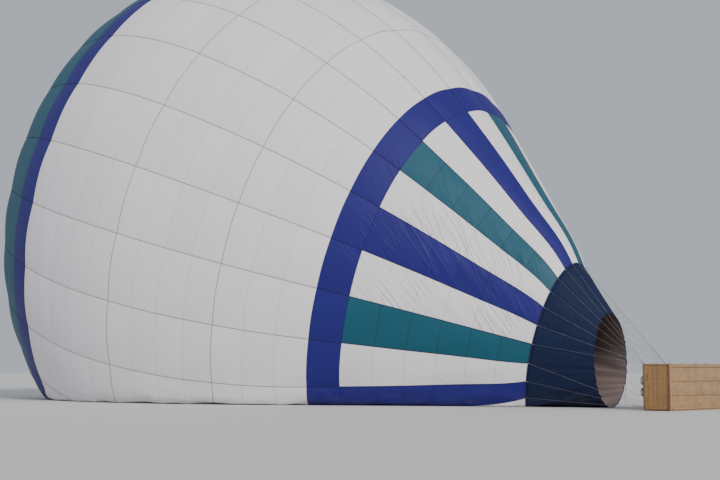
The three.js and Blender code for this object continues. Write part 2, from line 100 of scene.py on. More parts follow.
TAPE_LIFT, TAPE_THICKNESS, BAND_THICKNESS = 0.006, 0.009, 0.008
LOWER_BAND = 10 * PANEL
CROWN_TAPE_START, CROWN_TAPE_END = 0.16, VALVE_RADIUS + 0.25
CROWN_TAPE_WIDTH, CROWN_TAPE_THICKNESS = 0.05, 0.006
STEEL_RING, STEEL_RING_TUBE = 0.17, 0.012
VALVE_DEPTH, CROWN_LIFT, CROWN_DOME = -0.022, 0.02, 0.12
VALVE_RINGS = (VALVE_REACH, 3.85, 3.7, 3.5, 3.25, 2.9, 2.5, 2.05, 1.6, 1.15, 0.7, 0.3, 0.02)
VALVE_PARTS = (0, 0.12, 0.3, 0.5, 0.7, 0.88)
VALVE_BULGE, VALVE_EDGE_FLAT = 0.05, 0.4
PATCH_RADIUS, PATCH_DEPTHS = 0.09, (-0.03, -0.017)
MOUTH_TAPE_ROWS, MOUTH_TAPE_SWELL = (-TAPE_WIDTH, -0.045, -0.015, 0.0), (0, 0.002, 0.002, 0)
SCOOP_LENGTH, SCOOP_HALF_WIDTH, SCOOP_TOP = 2.57, 1.19, 3.81
SCOOP_ROWS = (0, 0.03, 0.06, *np.linspace(0.14, SCOOP_LENGTH, 26))
SCOOP_SAG, SCOOP_BULGE, SCOOP_FOLDS, SCOOP_CREASES = 0.035, 0.022, 0.018, 0.010
HEM_RADIUS, TIE_RADIUS, LONGEST_TIE = 0.014, 0.004, 0.9

# Where the points of the cloth's mesh stand between two cross seams and between two gore seams

ROW_PARTS = (0, 0.015, 0.05, 0.16, 0.33, 0.5, 0.67, 0.84, 0.95, 0.985)
COLUMN_PARTS = (0, 0.012, 0.04, 0.1, 0.21, 0.35, 0.5, 0.65, 0.79, 0.9, 0.96, 0.988)
TUCKED_PARTS = tuple(k / 24 for k in range(24))

# Gondola, standing up in its own axes and turned onto its side as a whole

FRAME_X = sum(corner.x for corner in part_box("load_frame")) / 2
MIDDLE = sum(corner.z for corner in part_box("load_frame")) / 2
MOUTH_X = FRAME_X - 4.71
MOUTH_CENTRE = np.array([MOUTH_X, 0.0, MOUTH_HEIGHT])
FRAME_HEIGHT, FRAME_HALF, FRAME_TUBE, FRAME_BEND = 2.0, 0.85, 0.025, 0.05
BASKET_LENGTH, BASKET_WIDTH, BASKET_TOP, WALL = 4.8, 1.72, 1.15, 0.04
HALF_LENGTH, HALF_WIDTH = BASKET_LENGTH / 2, BASKET_WIDTH / 2
WALL_X, WALL_Y = HALF_LENGTH - WALL / 2, HALF_WIDTH - WALL / 2
FLOOR_LOW, FLOOR_TOP, FLOOR_OVERHANG = 0.0403, 0.0703, 0.015
RIM_WIDTH, RIM_HEIGHT, RIM_BEND, WALL_BEND = 0.07, 0.06, 0.05, 0.03
RIM_Z = BASKET_TOP + GAP + RIM_HEIGHT / 2
PARTITION_TOP, PARTITION_X, CROSS_X, PANEL_PLAY = 1.08, 0.6, 1.5, 0.01
ROLL_RADIUS, ROLL_SUNK, PAD_FILL = 0.026, 0.012, 0.9
SKIRT_Z, SKIRT_HALF_HEIGHT, SKIRT_THICKNESS = 0.125, 0.052, 0.004
RUNNERS, RUNNER_BOLTS = 4, 9
RUNNER_WIDTH, RUNNER_HEIGHT, RUNNER_LENGTH = 0.07, 0.04, 4.6
UPRIGHT_FOOT, UPRIGHT_HEAD, UPRIGHT_PLAY = 0.3, 0.0128, 0.006
COVER_RADIUS, CAP_RADIUS = 0.017, 0.0125
RING_HALF_LENGTH, RING_HALF_WIDTH, RING_TUBE, RING_BEND = 0.64, 0.6, 0.018, 0.045
PIN_LENGTH, SOCKET_LENGTH, PIN_RADIUS, SLEEVE_RADIUS = 0.06, 0.07, 0.014, 0.026
BURNER_X, BURNER_Y, BEAM, BEAM_BEYOND = 0.245, 0.225, 0.03, 0.12
COIL_BASE, COIL_HEIGHT, COIL_BORE, COIL_RADIUS = 0.09, 0.43, 0.135, 0.18
COIL_TUBE, POST_CIRCLE, JET_CIRCLE = 0.0082, 0.1585, 0.085
BLOCK_HALF, LEVER_RADIUS = 0.065, 0.006
CYLINDER_RADIUS, CYLINDER_HEIGHT, CYLINDER_X, CYLINDER_Y = 0.18, 0.9, 0.395, 0.625
STRAP_HEIGHTS, STRAP_HALF_WIDTH, STRAP_THICKNESS = (0.24, 0.62), 0.025, 0.0025
CORNERS = ((-1, -1), (1, -1), (-1, 1), (1, 1))
GONDOLA = Matrix((
    (0, 0, -1, FRAME_X + FRAME_HEIGHT),
    (-1, 0, 0, 0),
    (0, 1, 0, MIDDLE),
    (0, 0, 0, 1),
))

# Rope handles: along the wall, out from it, and the height; then their places along the walls
HANDLE = ((-0.14, 0, 0.96), (-0.12, 0.025, 0.94), (-0.07, 0.045, 0.9), (0, 0.05, 0.885),
          (0.07, 0.045, 0.9), (0.12, 0.025, 0.94), (0.14, 0, 0.96))
HANDLES_LONG, HANDLES_SHORT = (-1.9, -0.95, 0, 0.95, 1.9), (-0.4, 0.4)
ROPE_RADIUS = 0.011

# Flying wires: load frame corner, side along Y, up or down, and the seams they start from
WIRES = (
    ("left_low", -1, -1, (-5, -4, -3)),
    ("left_high", -1, 1, (-2, -1, 0, 1, 2, 3, 4)),
    ("right_high", 1, 1, (5, 6, 7, 8, 9, 10, 11)),
    ("right_low", 1, -1, (12, 13, 14, 15)),
)
LUG, LUG_REACH, LUG_IN, LUG_EDGE = 0.02, 0.052, 0.032, 0.007
LUG_X = FRAME_X - FRAME_TUBE - GAP - LUG
BOLT_RADIUS, BOLT_HEAD, BOLT_SHIFTS = 0.007, 0.004, (-0.03, 0.0, 0.03)
WIRE_HEIGHT, WIRES_APART = 0.007, 0.012

# The fitting at each end of a wire: its radius, and where it starts and ends along the wire
FITTING_RADIUS, MOUTH_FITTING, LUG_FITTING = 0.0095, (-0.01, 0.07), (-0.06, 0.004)

# Stage: the horizon lies 131 pixels below the middle of a picture 720 pixels wide, which the lens
# gives a focal length of 1250 pixels

FLOOR_REACH, FLOOR_LEVEL = 900, -0.002
SKY_COLOUR, SKY_STRENGTH = (0.76, 0.81, 0.89, 1), 0.62
SENSOR, LENS, SIGHT = 36.0, 62.5, 3000
CAMERA_SPOT = (MOUTH_X + 30.841, -43.87, 1.48)
CAMERA_PITCH = math.atan(131 / 1250)
CAMERA_HEADING = (-0.6959, 0.7181)

# Lamps: name, strength, angle of softness, direction it shines in, colour
LAMPS = (
    ("key", 2.9, 12, (-0.86, 0.34, -0.46), (1.0, 0.96, 0.91)),
    ("fill", 0.45, 60, (0.3, 0.9, -0.3), (0.92, 0.95, 1.0)),
)


def length(name, default, low, high, description):
    """A length that a user may change."""
    return bpy.props.FloatProperty(
        name=name, default=default, min=low, max=high, unit="LENGTH", description=description)


def colour(name, *default):
    """A colour that a user may change."""
    return bpy.props.FloatVectorProperty(
        name=name, description=f"Colour of the {name.lower()}", subtype="COLOR",
        size=4, min=0, max=1, default=(*default, 1))


class BalloonSizes(bpy.types.PropertyGroup):
    """Sizes that a user may change."""

    gore_bulge: bpy.props.FloatProperty(
        name="Gore Bulge", default=0.018, min=0, max=0.1,
        description="How far the cloth of a gore stands out between its tapes, as a share of its width")
    quilting: length(
        "Panel Bulge", 0.012, 0, 0.05, "How far a panel stands out between its cross seams")
    ground_folds: length(
        "Ground Folds", 0.035, 0, 0.2, "Height of the folds just above the ground")
    floor_tucks: length(
        "Floor Tucks", 0.09, 0, 0.2, "Height of the tucks in the slack cloth that lies on the ground")
    seam_tape: length(
        "Seam Tape Width", 0.03, 0.01, 0.2, "Width of the load tapes along the gore seams")
    wire_radius: length("Wire Radius", 0.004, 0.001, 0.02, "Radius of the flying wires")
    stake_pitch: length(
        "Stake Pitch", 0.075, 0.03, 0.2, "Distance between the upright stakes of the wicker")
    weaver_pitch: length(
        "Weaver Pitch", 0.017, 0.01, 0.05, "Distance between the woven rods of the wicker")
    coil_turns: bpy.props.IntProperty(
        name="Coil Turns", default=15, min=4, max=30,
        description="Turns of each burner's vaporiser coil")


class BalloonColours(bpy.types.PropertyGroup):
    """Colours that a user may change."""

    white: colour("White Cloth", 0.76, 0.73, 0.76)
    navy: colour("Navy Cloth", 0.014, 0.012, 0.155)
    teal: colour("Teal Cloth", 0.012, 0.085, 0.13)
    scoop: colour("Scoop Cloth", 0.0035, 0.011, 0.048)
    lining: colour("Scoop Lining", 0.4, 0.31, 0.3)
    pale_tape: colour("Pale Load Tape", 0.36, 0.32, 0.35)
    dark_tape: colour("Dark Load Tape", 0.016, 0.017, 0.075)
    wire: colour("Wire Rope", 0.36, 0.34, 0.31)
    handle: colour("Rope Handle", 0.42, 0.31, 0.18)
    steel: colour("Frame Steel", 0.55, 0.56, 0.57)
    coil: colour("Burner Coil", 0.5, 0.47, 0.43)
    block: colour("Valve Block", 0.36, 0.37, 0.39)
    brass: colour("Brass Valve", 0.55, 0.36, 0.12)
    tank: colour("Fuel Cylinder", 0.66, 0.67, 0.68)
    pole: colour("Pole Cover", 0.045, 0.05, 0.1)
    wicker: colour("Wicker", 0.42, 0.23, 0.085)
    leather: colour("Leather", 0.14, 0.055, 0.022)
    wood: colour("Basket Floor", 0.36, 0.22, 0.11)
    floor: colour("Studio Floor", 0.62, 0.62, 0.61)


def sizes():
    return bpy.context.scene.balloon_sizes


# Node trees

class Value:
    """An output socket to reckon with: each sum, difference or product adds a Math node."""

    def __init__(self, nodes, socket):
        self.nodes, self.socket = nodes, socket

    def __add__(self, other):
        return self.nodes.math("ADD", self, other)

    def __sub__(self, other):
        return self.nodes.math("SUBTRACT", self, other)

    def __rsub__(self, other):
        return self.nodes.math("SUBTRACT", other, self)

    def __mul__(self, other):
        return self.nodes.math("MULTIPLY", self, other)

    def __truediv__(self, other):
        return self.nodes.math("DIVIDE", self, other)

    def __abs__(self):
        return self.nodes.math("ABSOLUTE", self)


class Nodes:
    """Adds nodes to a tree: inputs are plain values or Values, by the input's name or number."""

    def __init__(self, tree):
        self.tree = tree

    def fill(self, node, inputs):
        for key, value in inputs.items():
            if isinstance(value, Value):
                self.tree.links.new(value.socket, node.inputs[key])
            else:
                node.inputs[key].default_value = value

    def add(self, kind, inputs=(), out=0, **settings):
        """Returns one output of the new node, or all of them by name where out is None."""
        node = self.tree.nodes.new(kind)
        for key, value in settings.items():
            setattr(node, key, value)
        self.fill(node, dict(inputs))
        if out is None:
            return {socket.name: Value(self, socket) for socket in node.outputs}
        return Value(self, node.outputs[out])

    def math(self, operation, *values):
        return self.add("ShaderNodeMath", enumerate(values), operation=operation)

    def sine(self, value):
        return self.math("SINE", value)

    def ramp(self, value, low, high, to_low=0.0, to_high=1.0):
        return self.add("ShaderNodeMapRange", {
            "Value": value, "From Min": low, "From Max": high,
            "To Min": to_low, "To Max": to_high}, interpolation_type="SMOOTHSTEP")

    def blend(self, share, first, second, mode="MIX"):
        return self.add(
            "ShaderNodeMix", {0: share, 6: first, 7: second}, out=2,
            data_type="RGBA", blend_type=mode)

    def shaded(self, tint, shade):
        return self.blend(1.0, tint, self.join(shade, shade, shade), "MULTIPLY")

    def noise(self, place, scale, detail=3.0, roughness=0.5):
        return self.add("ShaderNodeTexNoise", {
            "Vector": place, "Scale": scale, "Detail": detail, "Roughness": roughness}, out="Fac")

    def attribute(self, name):
        return self.add("ShaderNodeAttribute", attribute_name=name, out="Fac")

    def split(self, vector):
        return list(self.add("ShaderNodeSeparateXYZ", {0: vector}, out=None).values())

    def join(self, x, y, z):
        return self.add("ShaderNodeCombineXYZ", {0: x, 1: y, 2: z})

    def place(self, scale=(1, 1, 1)):
        point = self.add("ShaderNodeTexCoord", out="Object")
        return self.add("ShaderNodeMapping", {"Vector": point, "Scale": scale})

    def bump(self, height, distance=1.0):
        return self.add("ShaderNodeBump", {"Height": height, "Distance": distance})

    def group(self, name, **inputs):
        """Places a shader group, with an underscore for each space in its inputs' names."""
        fill, takes = SHADER_GROUPS[name]
        tree = node_group(name, "ShaderNodeTree", takes, fill)
        inputs = {key.replace("_", " "): value for key, value in inputs.items()}
        return self.add("ShaderNodeGroup", inputs, out=None, node_tree=tree)

    def circle(self, sides, radius):
        return self.add(
            "GeometryNodeCurvePrimitiveCircle", {"Resolution": sides, "Radius": radius})

    def line(self, start, end):
        return self.add("GeometryNodeCurvePrimitiveLine", {"Start": start, "End": end})

    def curve(self, geometry):
        return self.add("GeometryNodeMeshToCurve", {0: geometry})

    def store(self, geometry, name, value, domain="POINT"):
        return self.add("GeometryNodeStoreNamedAttribute", {
            "Geometry": geometry, "Name": name, "Value": value}, domain=domain)

    def swept(self, curve, profile):
        """Sweeps a profile along a curve and stores how far along and around it each point is."""
        length, factor = (
            self.add("GeometryNodeSplineParameter", out=out) for out in ("Length", "Factor"))
        return self.add("GeometryNodeCurveToMesh", {
            "Curve": self.store(curve, "along", length),
            "Profile Curve": self.store(profile, "around", factor), "Fill Caps": True})

    def together(self, *parts):
        """Joins parts and shades them smooth."""
        join = self.tree.nodes.new("GeometryNodeJoinGeometry")
        for part in parts:
            self.tree.links.new(part.socket, join.inputs[0])
        return self.add("GeometryNodeSetShadeSmooth", {0: Value(self, join.outputs[0])})


SOCKET_KINDS = {float: "Float", int: "Int", 3: "Vector", 4: "Color"}


def node_group(name, kind, takes, fill):
    """Builds a node group once: takes holds each input's default, or its kind where it has none."""
    tree = bpy.data.node_groups.get(name)
    if tree:
        return tree
    tree = bpy.data.node_groups.new(name, kind)
    for label, default in takes.items():
        if isinstance(default, str):
            tree.interface.new_socket(label, in_out="INPUT", socket_type=f"NodeSocket{default}")
            continue
        plain = SOCKET_KINDS[len(default) if isinstance(default, tuple) else type(default)]
        socket = tree.interface.new_socket(label, in_out="INPUT", socket_type=f"NodeSocket{plain}")
        socket.default_value = default
    nodes = Nodes(tree)
    made = fill(nodes, nodes.add("NodeGroupInput", out=None))
    for label in made:
        plain = label if label in ("Color", "Geometry") else "Float"
        tree.interface.new_socket(label, in_out="OUTPUT", socket_type=f"NodeSocket{plain}")
    nodes.add("NodeGroupOutput", made, out=None)
    return tree


# Shader groups

def sewn_cloth(nodes, given):
    """Panels of coated cloth between gore seams and cross seams, read from the cloth's own maps."""
    to_seam, row, gore = (nodes.attribute(name) for name in ("to_seam", "row", "gore"))
    across, along, _ = nodes.split(nodes.add("ShaderNodeUVMap", uv_map="cloth"))
    place = nodes.place()
    to_cross = abs(row - nodes.math("ROUND", row)) * PANEL
    line = nodes.math(
        "MAXIMUM", nodes.ramp(to_seam, 0.012, 0.028, 1, 0), nodes.ramp(to_cross, 0.008, 0.02, 1, 0))
    panel = nodes.join(gore, nodes.math("FLOOR", row), 0.0)
    tone = nodes.add("ShaderNodeTexWhiteNoise", {"Vector": panel}, out="Value")
    cloud = nodes.noise(place, 0.22, 4.0, 0.6)
    shade = 1.05 - (tone * given["Panel Tone"] + cloud * 0.1)
    tint = nodes.shaded(given["Colour"], shade * (1.0 - line * given["Seam Shade"]))
    # dust on the lowest metre
    grit = nodes.noise(nodes.place((1, 1, 2.5)), 1.7, 6.0, 0.65)
    dust = nodes.ramp(nodes.split(place)[2], 0.05, 0.9, 1, 0) * nodes.ramp(grit, 0.4, 0.75)
    dust = dust * given["Dust"]
    tint = nodes.blend(dust, tint, (0.3, 0.26, 0.2, 1))
    # puckers beside the gore seams
    wander = nodes.noise(nodes.join(across, along * 0.6, gore), 1.4, 2.0)
    pucker = nodes.sine(along * 34.0 + wander * 9.0) * nodes.ramp(to_seam, 0.015, 0.26, 0.0016, 0)
    # slanting pulls in patches, on the slack gores of the lower cone
    slant = nodes.join(across * 1.3 - along * 0.75, along * 0.14 + across * 0.08, gore * 7.3)
    pull = abs(nodes.noise(slant, 2.4, 2.0, 0.4) - 0.5)
    aside = abs(abs(gore - WRINKLED_TOP) - WRINKLED_ASIDE)
    patch = nodes.ramp(nodes.noise(place, 0.55, 2.0), 0.38, 0.6, 0.15, 1)
    pull = nodes.ramp(pull, 0.0, 0.1, 1, 0) * given["Pulls"] * nodes.ramp(row, 4.5, 7.6, 1, 0.08)
    pull = pull * patch * nodes.ramp(aside, 1.3, 2.6, 1, 0.18)
    squares = nodes.math("MAXIMUM", nodes.sine(across * 900.0), nodes.sine(along * 900.0))
    return {
        "Color": nodes.blend(nodes.attribute("inside"), tint, given["Lining"]),
        "Roughness": given["Roughness"] + cloud * 0.12 + dust * 0.3,
        "Height": pucker + pull + line * 0.003 + squares * 0.00006,
    }


def scuffs(nodes, given):
    """Dirt in broad clouds and fine scuffs, for anything that is handled and dragged about."""
    place = nodes.place()
    cloud = nodes.noise(place, given["Scale"], 5.0, 0.6)
    fine = nodes.noise(place, given["Scale"] * 14.0, 3.0, 0.7)
    mask = nodes.ramp(cloud * 0.7 + fine * 0.3, 0.42, 0.68) * given["Amount"]
    return {"Color": nodes.blend(mask, given["Colour"], given["Dirt"]), "Mask": mask, "Fine": fine}


def strands(nodes, given):
    """Twisted strands of a rope or wire, from the length and the angle stored on it."""
    lay = nodes.attribute("along") * given["Lay"] + nodes.attribute("around")
    wave = nodes.sine(lay * given["Strands"] * math.tau)
    tint = nodes.shaded(given["Colour"], nodes.ramp(wave, -1, 0.2, 0.45, 1))
    return {"Color": tint, "Height": wave}


def webbing(nodes, given):
    """Close ribs and chevrons of woven tape."""
    slope = abs(nodes.math("FRACT", nodes.attribute("around") * 4.0) - 0.5)
    wave = nodes.sine(nodes.attribute("along") * given["Ribs"] + slope * 9.0)
    tint = nodes.shaded(given["Colour"], nodes.ramp(wave, -1, 1, 0.72, 1.06))
    return {"Color": tint, "Height": wave}


def grain(nodes, given):
    """Streaks along one axis of the piece, as in wood, willow and drawn or brushed metal."""
    depth = given["Depth"]
    streak = nodes.noise(nodes.place(given["Stretch"]), 1.0, 5.0, 0.62)
    tone = nodes.noise(nodes.place(), 2.3, 2.0)
    shade = (depth * 0.75 + 1.0) - (streak * depth + tone * (depth * 0.5))
    return {"Color": nodes.shaded(given["Colour"], shade), "Streak": streak}


UNTINTED = (1, 1, 1, 1)
SHADER_GROUPS = {
    "Sewn Cloth": (sewn_cloth, {
        "Colour": UNTINTED, "Lining": UNTINTED, "Panel Tone": 0.06, "Seam Shade": 0.25,
        "Dust": 0.22, "Pulls": 0.01, "Roughness": 0.45}),
    "Scuffs": (scuffs, {
        "Colour": UNTINTED, "Dirt": (0.16, 0.12, 0.08, 1), "Scale": 2.0, "Amount": 0.4}),
    "Strands": (strands, {"Colour": UNTINTED, "Lay": 10.0, "Strands": 6.0}),
    "Webbing": (webbing, {"Colour": UNTINTED, "Ribs": 900.0}),
    "Grain": (grain, {"Colour": UNTINTED, "Stretch": (1, 1, 1), "Depth": 0.4}),
}


# Finishes: each returns what it links to the shader and what it sets on it

def cloth(nodes, tint, lining=None, seam_shade=0.22, pulls=0.02, roughness=0.5, tone=0.05, dust=0.22):
    sewn = nodes.group(
        "Sewn Cloth", Colour=tint, Lining=chosen(lining) if lining else tint, Panel_Tone=tone,
        Seam_Shade=seam_shade, Dust=dust, Pulls=pulls, Roughness=roughness)
    return {
        "Base Color": sewn["Color"], "Roughness": sewn["Roughness"],
        "Normal": nodes.bump(sewn["Height"]), "Specular IOR Level": 0.26}


def tape(nodes, tint, dirt=0.06):
    woven = nodes.group("Webbing", Colour=tint)
    worn = nodes.group("Scuffs", Colour=woven["Color"], Scale=0.8, Amount=dirt)
    return {
        "Base Color": worn["Color"], "Roughness": nodes.ramp(worn["Fine"], 0.2, 0.8, 0.55, 0.8),
        "Normal": nodes.bump(woven["Height"], 0.0006), "Specular IOR Level": 0.2}


def rope(nodes, tint, lay, strands, metallic, roughness):
    laid = nodes.group("Strands", Colour=tint, Lay=lay, Strands=strands)
    worn = nodes.group("Scuffs", Colour=laid["Color"], Scale=3.0, Amount=0.3)
    return {
        "Base Color": worn["Color"], "Metallic": metallic,
        "Roughness": nodes.ramp(worn["Fine"], 0.2, 0.8, roughness - 0.1, roughness + 0.12),
        "Normal": nodes.bump(laid["Height"], 0.0012)}


def metal(nodes, tint, stretch, roughness, heat=None, dirt=0.25):
    """Bare metal with drawn streaks, scuffs and, where it is given, a heat tint in patches."""
    drawn = nodes.group("Grain", Colour=tint, Stretch=stretch, Depth=0.16)
    base = drawn["Color"]
    if heat:
        base = nodes.blend(nodes.ramp(nodes.noise(nodes.place(), 6.0, 4.0), 0.42, 0.66), base, heat)
    worn = nodes.group("Scuffs", Colour=base, Scale=4.0, Amount=dirt)
    dull = worn["Mask"] + drawn["Streak"] * 0.5
    return {
        "Base Color": worn["Color"], "Metallic": 1.0,
        "Roughness": nodes.ramp(dull, 0.1, 0.9, roughness - 0.08, roughness + 0.25),
        "Normal": nodes.bump(drawn["Streak"], 0.0004)}


def willow(nodes, tint):
    rod = {"W": nodes.attribute("rod")}
    tone = nodes.add("ShaderNodeTexWhiteNoise", rod, out="Value", noise_dimensions="1D")
    base = nodes.blend(tone, tint, tuple(0.62 * c for c in tint[:3]) + (1,))
    split = nodes.group("Grain", Colour=base, Stretch=(9, 9, 9), Depth=0.5)
    worn = nodes.group(
        "Scuffs", Colour=split["Color"], Scale=1.6, Amount=0.45, Dirt=(0.2, 0.12, 0.05, 1))
    return {
        "Base Color": worn["Color"], "Coat Weight": 0.25, "Coat Roughness": 0.3,
        "Roughness": nodes.ramp(split["Streak"], 0.3, 0.7, 0.38, 0.62),
        "Normal": nodes.bump(nodes.noise(nodes.place(), 160.0, 2.0), 0.0008)}


def hide(nodes, tint):
    place = nodes.place()
    cells = nodes.add("ShaderNodeTexVoronoi", {"Vector": place, "Scale": 190.0}, out="Distance")
    crease = nodes.noise(place, 34.0, 4.0, 0.6)
    worn = nodes.group("Scuffs", Colour=tint, Dirt=(0.34, 0.19, 0.1, 1), Scale=5.0, Amount=0.55)
    return {
        "Base Color": worn["Color"], "Specular IOR Level": 0.45,
        "Roughness": nodes.ramp(crease, 0.3, 0.7, 0.42, 0.66),
        "Normal": nodes.bump(cells * 0.6 + crease, 0.0012)}


def boards(nodes, tint):
    board = nodes.group("Grain", Colour=tint, Stretch=(26, 1.6, 26), Depth=0.8)
    worn = nodes.group("Scuffs", Colour=board["Color"], Scale=2.2, Amount=0.5)
    return {
        "Base Color": worn["Color"], "Roughness": nodes.ramp(board["Streak"], 0.3, 0.7, 0.5, 0.75),
        "Normal": nodes.bump(board["Streak"], 0.0015)}


def nylon(nodes, tint):
    """Padded covers with a fine weave."""
    place = nodes.place()
    x, _, z = nodes.split(place)
    weave = nodes.sine(x * 1800.0) * nodes.sine(z * 1800.0)
    crease = nodes.noise(place, 26.0, 3.0)
    worn = nodes.group("Scuffs", Colour=tint, Scale=4.0, Amount=0.35)
    return {
        "Base Color": worn["Color"], "Sheen Weight": 0.3,
        "Roughness": nodes.ramp(crease, 0.3, 0.7, 0.6, 0.85),
        "Normal": nodes.bump(weave * 0.15 + crease, 0.004)}


def matt(nodes, tint):
    cloud = nodes.noise(nodes.place(), 0.05, 3.0)
    return {"Base Color": tint, "Roughness": nodes.ramp(cloud, 0.3, 0.7, 0.84, 0.9)}


# Materials: finish, name of the colour that a user may change, and the finish's own settings
LOOKS = {
    "white_ripstop": (cloth, "white", {"pulls": 0.03}),
    "navy_ripstop": (cloth, "navy", {"seam_shade": 0.3, "pulls": 0.012, "dust": 0.1}),
    "teal_ripstop": (cloth, "teal", {"seam_shade": 0.45, "pulls": 0.014}),
    "scoop_cloth": (cloth, "scoop", {
        "lining": "lining", "seam_shade": 0.2, "pulls": 0.012, "roughness": 0.62, "tone": 0.12,
        "dust": 0.08}),
    "dark_webbing": (tape, "dark_tape", {}),
    "pale_webbing": (tape, "pale_tape", {"dirt": 0.25}),
    "steel_rope": (rope, "wire", {"lay": 28.0, "strands": 6.0, "metallic": 0.8, "roughness": 0.4}),
    "hemp_rope": (rope, "handle", {"lay": 16.0, "strands": 3.0, "metallic": 0.0, "roughness": 0.8}),
    "ring_steel": (metal, "steel", {"stretch": (30, 30, 30), "roughness": 0.3}),
    "frame_tube": (metal, "steel", {"stretch": (6, 60, 60), "roughness": 0.32}),
    "heated_steel": (metal, "coil", {
        "stretch": (30, 30, 30), "roughness": 0.3, "heat": (0.3, 0.19, 0.16, 1), "dirt": 0.4}),
    "valve_block": (metal, "block", {"stretch": (50, 50, 8), "roughness": 0.4}),
    "valve_brass": (metal, "brass", {"stretch": (40, 40, 40), "roughness": 0.3}),
    "satin_aluminium": (metal, "tank", {"stretch": (4, 4, 60), "roughness": 0.34, "dirt": 0.35}),
    "varnished_willow": (willow, "wicker", {}),
    "stitched_hide": (hide, "leather", {}),
    "oiled_ash": (boards, "wood", {}),
    "padded_nylon": (nylon, "pole", {}),
    "pale_floor": (matt, "floor", {}),
}


def chosen(name):
    return getattr(bpy.context.scene.balloon_colours, name)


def look(name):
    """One of the materials in the table, built when it is first asked for."""
    made = bpy.data.materials.get(name)
    if made is None:
        finish, tint, settings = LOOKS[name]
        made = bpy.data.materials.new(name)
        made.use_nodes = True
        nodes = Nodes(made.node_tree)
        nodes.fill(
            made.node_tree.nodes["Principled BSDF"], finish(nodes, chosen(tint), **settings))
    return made


# Meshes and pieces

def add_piece(name, mesh, slot, finish=None, *nodes, body="balloon"):
    """Makes a piece of the object: it rides on a body and may stand for CAD nodes."""
    piece = bpy.data.objects.new(name, mesh)
    mesh.name = name
    bpy.context.scene.collection.objects.link(piece)
    if finish:
        mesh.materials.clear()
        mesh.materials.append(look(finish))
    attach(piece, body)
    if nodes:
        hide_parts(*nodes)
    return piece


def keep(mesh, name, values, kind="FLOAT", domain="POINT"):
    """Stores values on a mesh, under the name that its material or its tree reads."""
    stored = mesh.attributes.new(name, kind, domain).data
    stored.foreach_set(
        "value" if kind == "FLOAT" else "vector", np.asarray(values, np.float32).ravel())


def circle(radius, count, z=0.0, first=0.0):
    """Points round the Z axis, the first of them turned on by a part of a step."""
    turns = [math.tau * (k + first) / count for k in range(count)]
    return [Vector((radius * math.cos(turn), radius * math.sin(turn), z)) for turn in turns]


def rounded_rectangle(half_x, half_y, z, radius, steps=6):
    points = []
    for quarter, (sx, sy) in enumerate(((1, 1), (-1, 1), (-1, -1), (1, -1))):
        for k in range(steps + 1):
            turn = math.pi / 2 * (quarter + k / steps)
            points.append(Vector((
                sx * (half_x - radius) + radius * math.cos(turn),
                sy * (half_y - radius) + radius * math.sin(turn), z)))
    return points


def dense(points, step):
    """The same closed line with points no further apart than step."""
    made = []
    for a, b in zip(points, points[1:] + points[:1]):
        count = max(int((b - a).length / step), 1)
        made += [a.lerp(b, k / count) for k in range(count)]
    return made


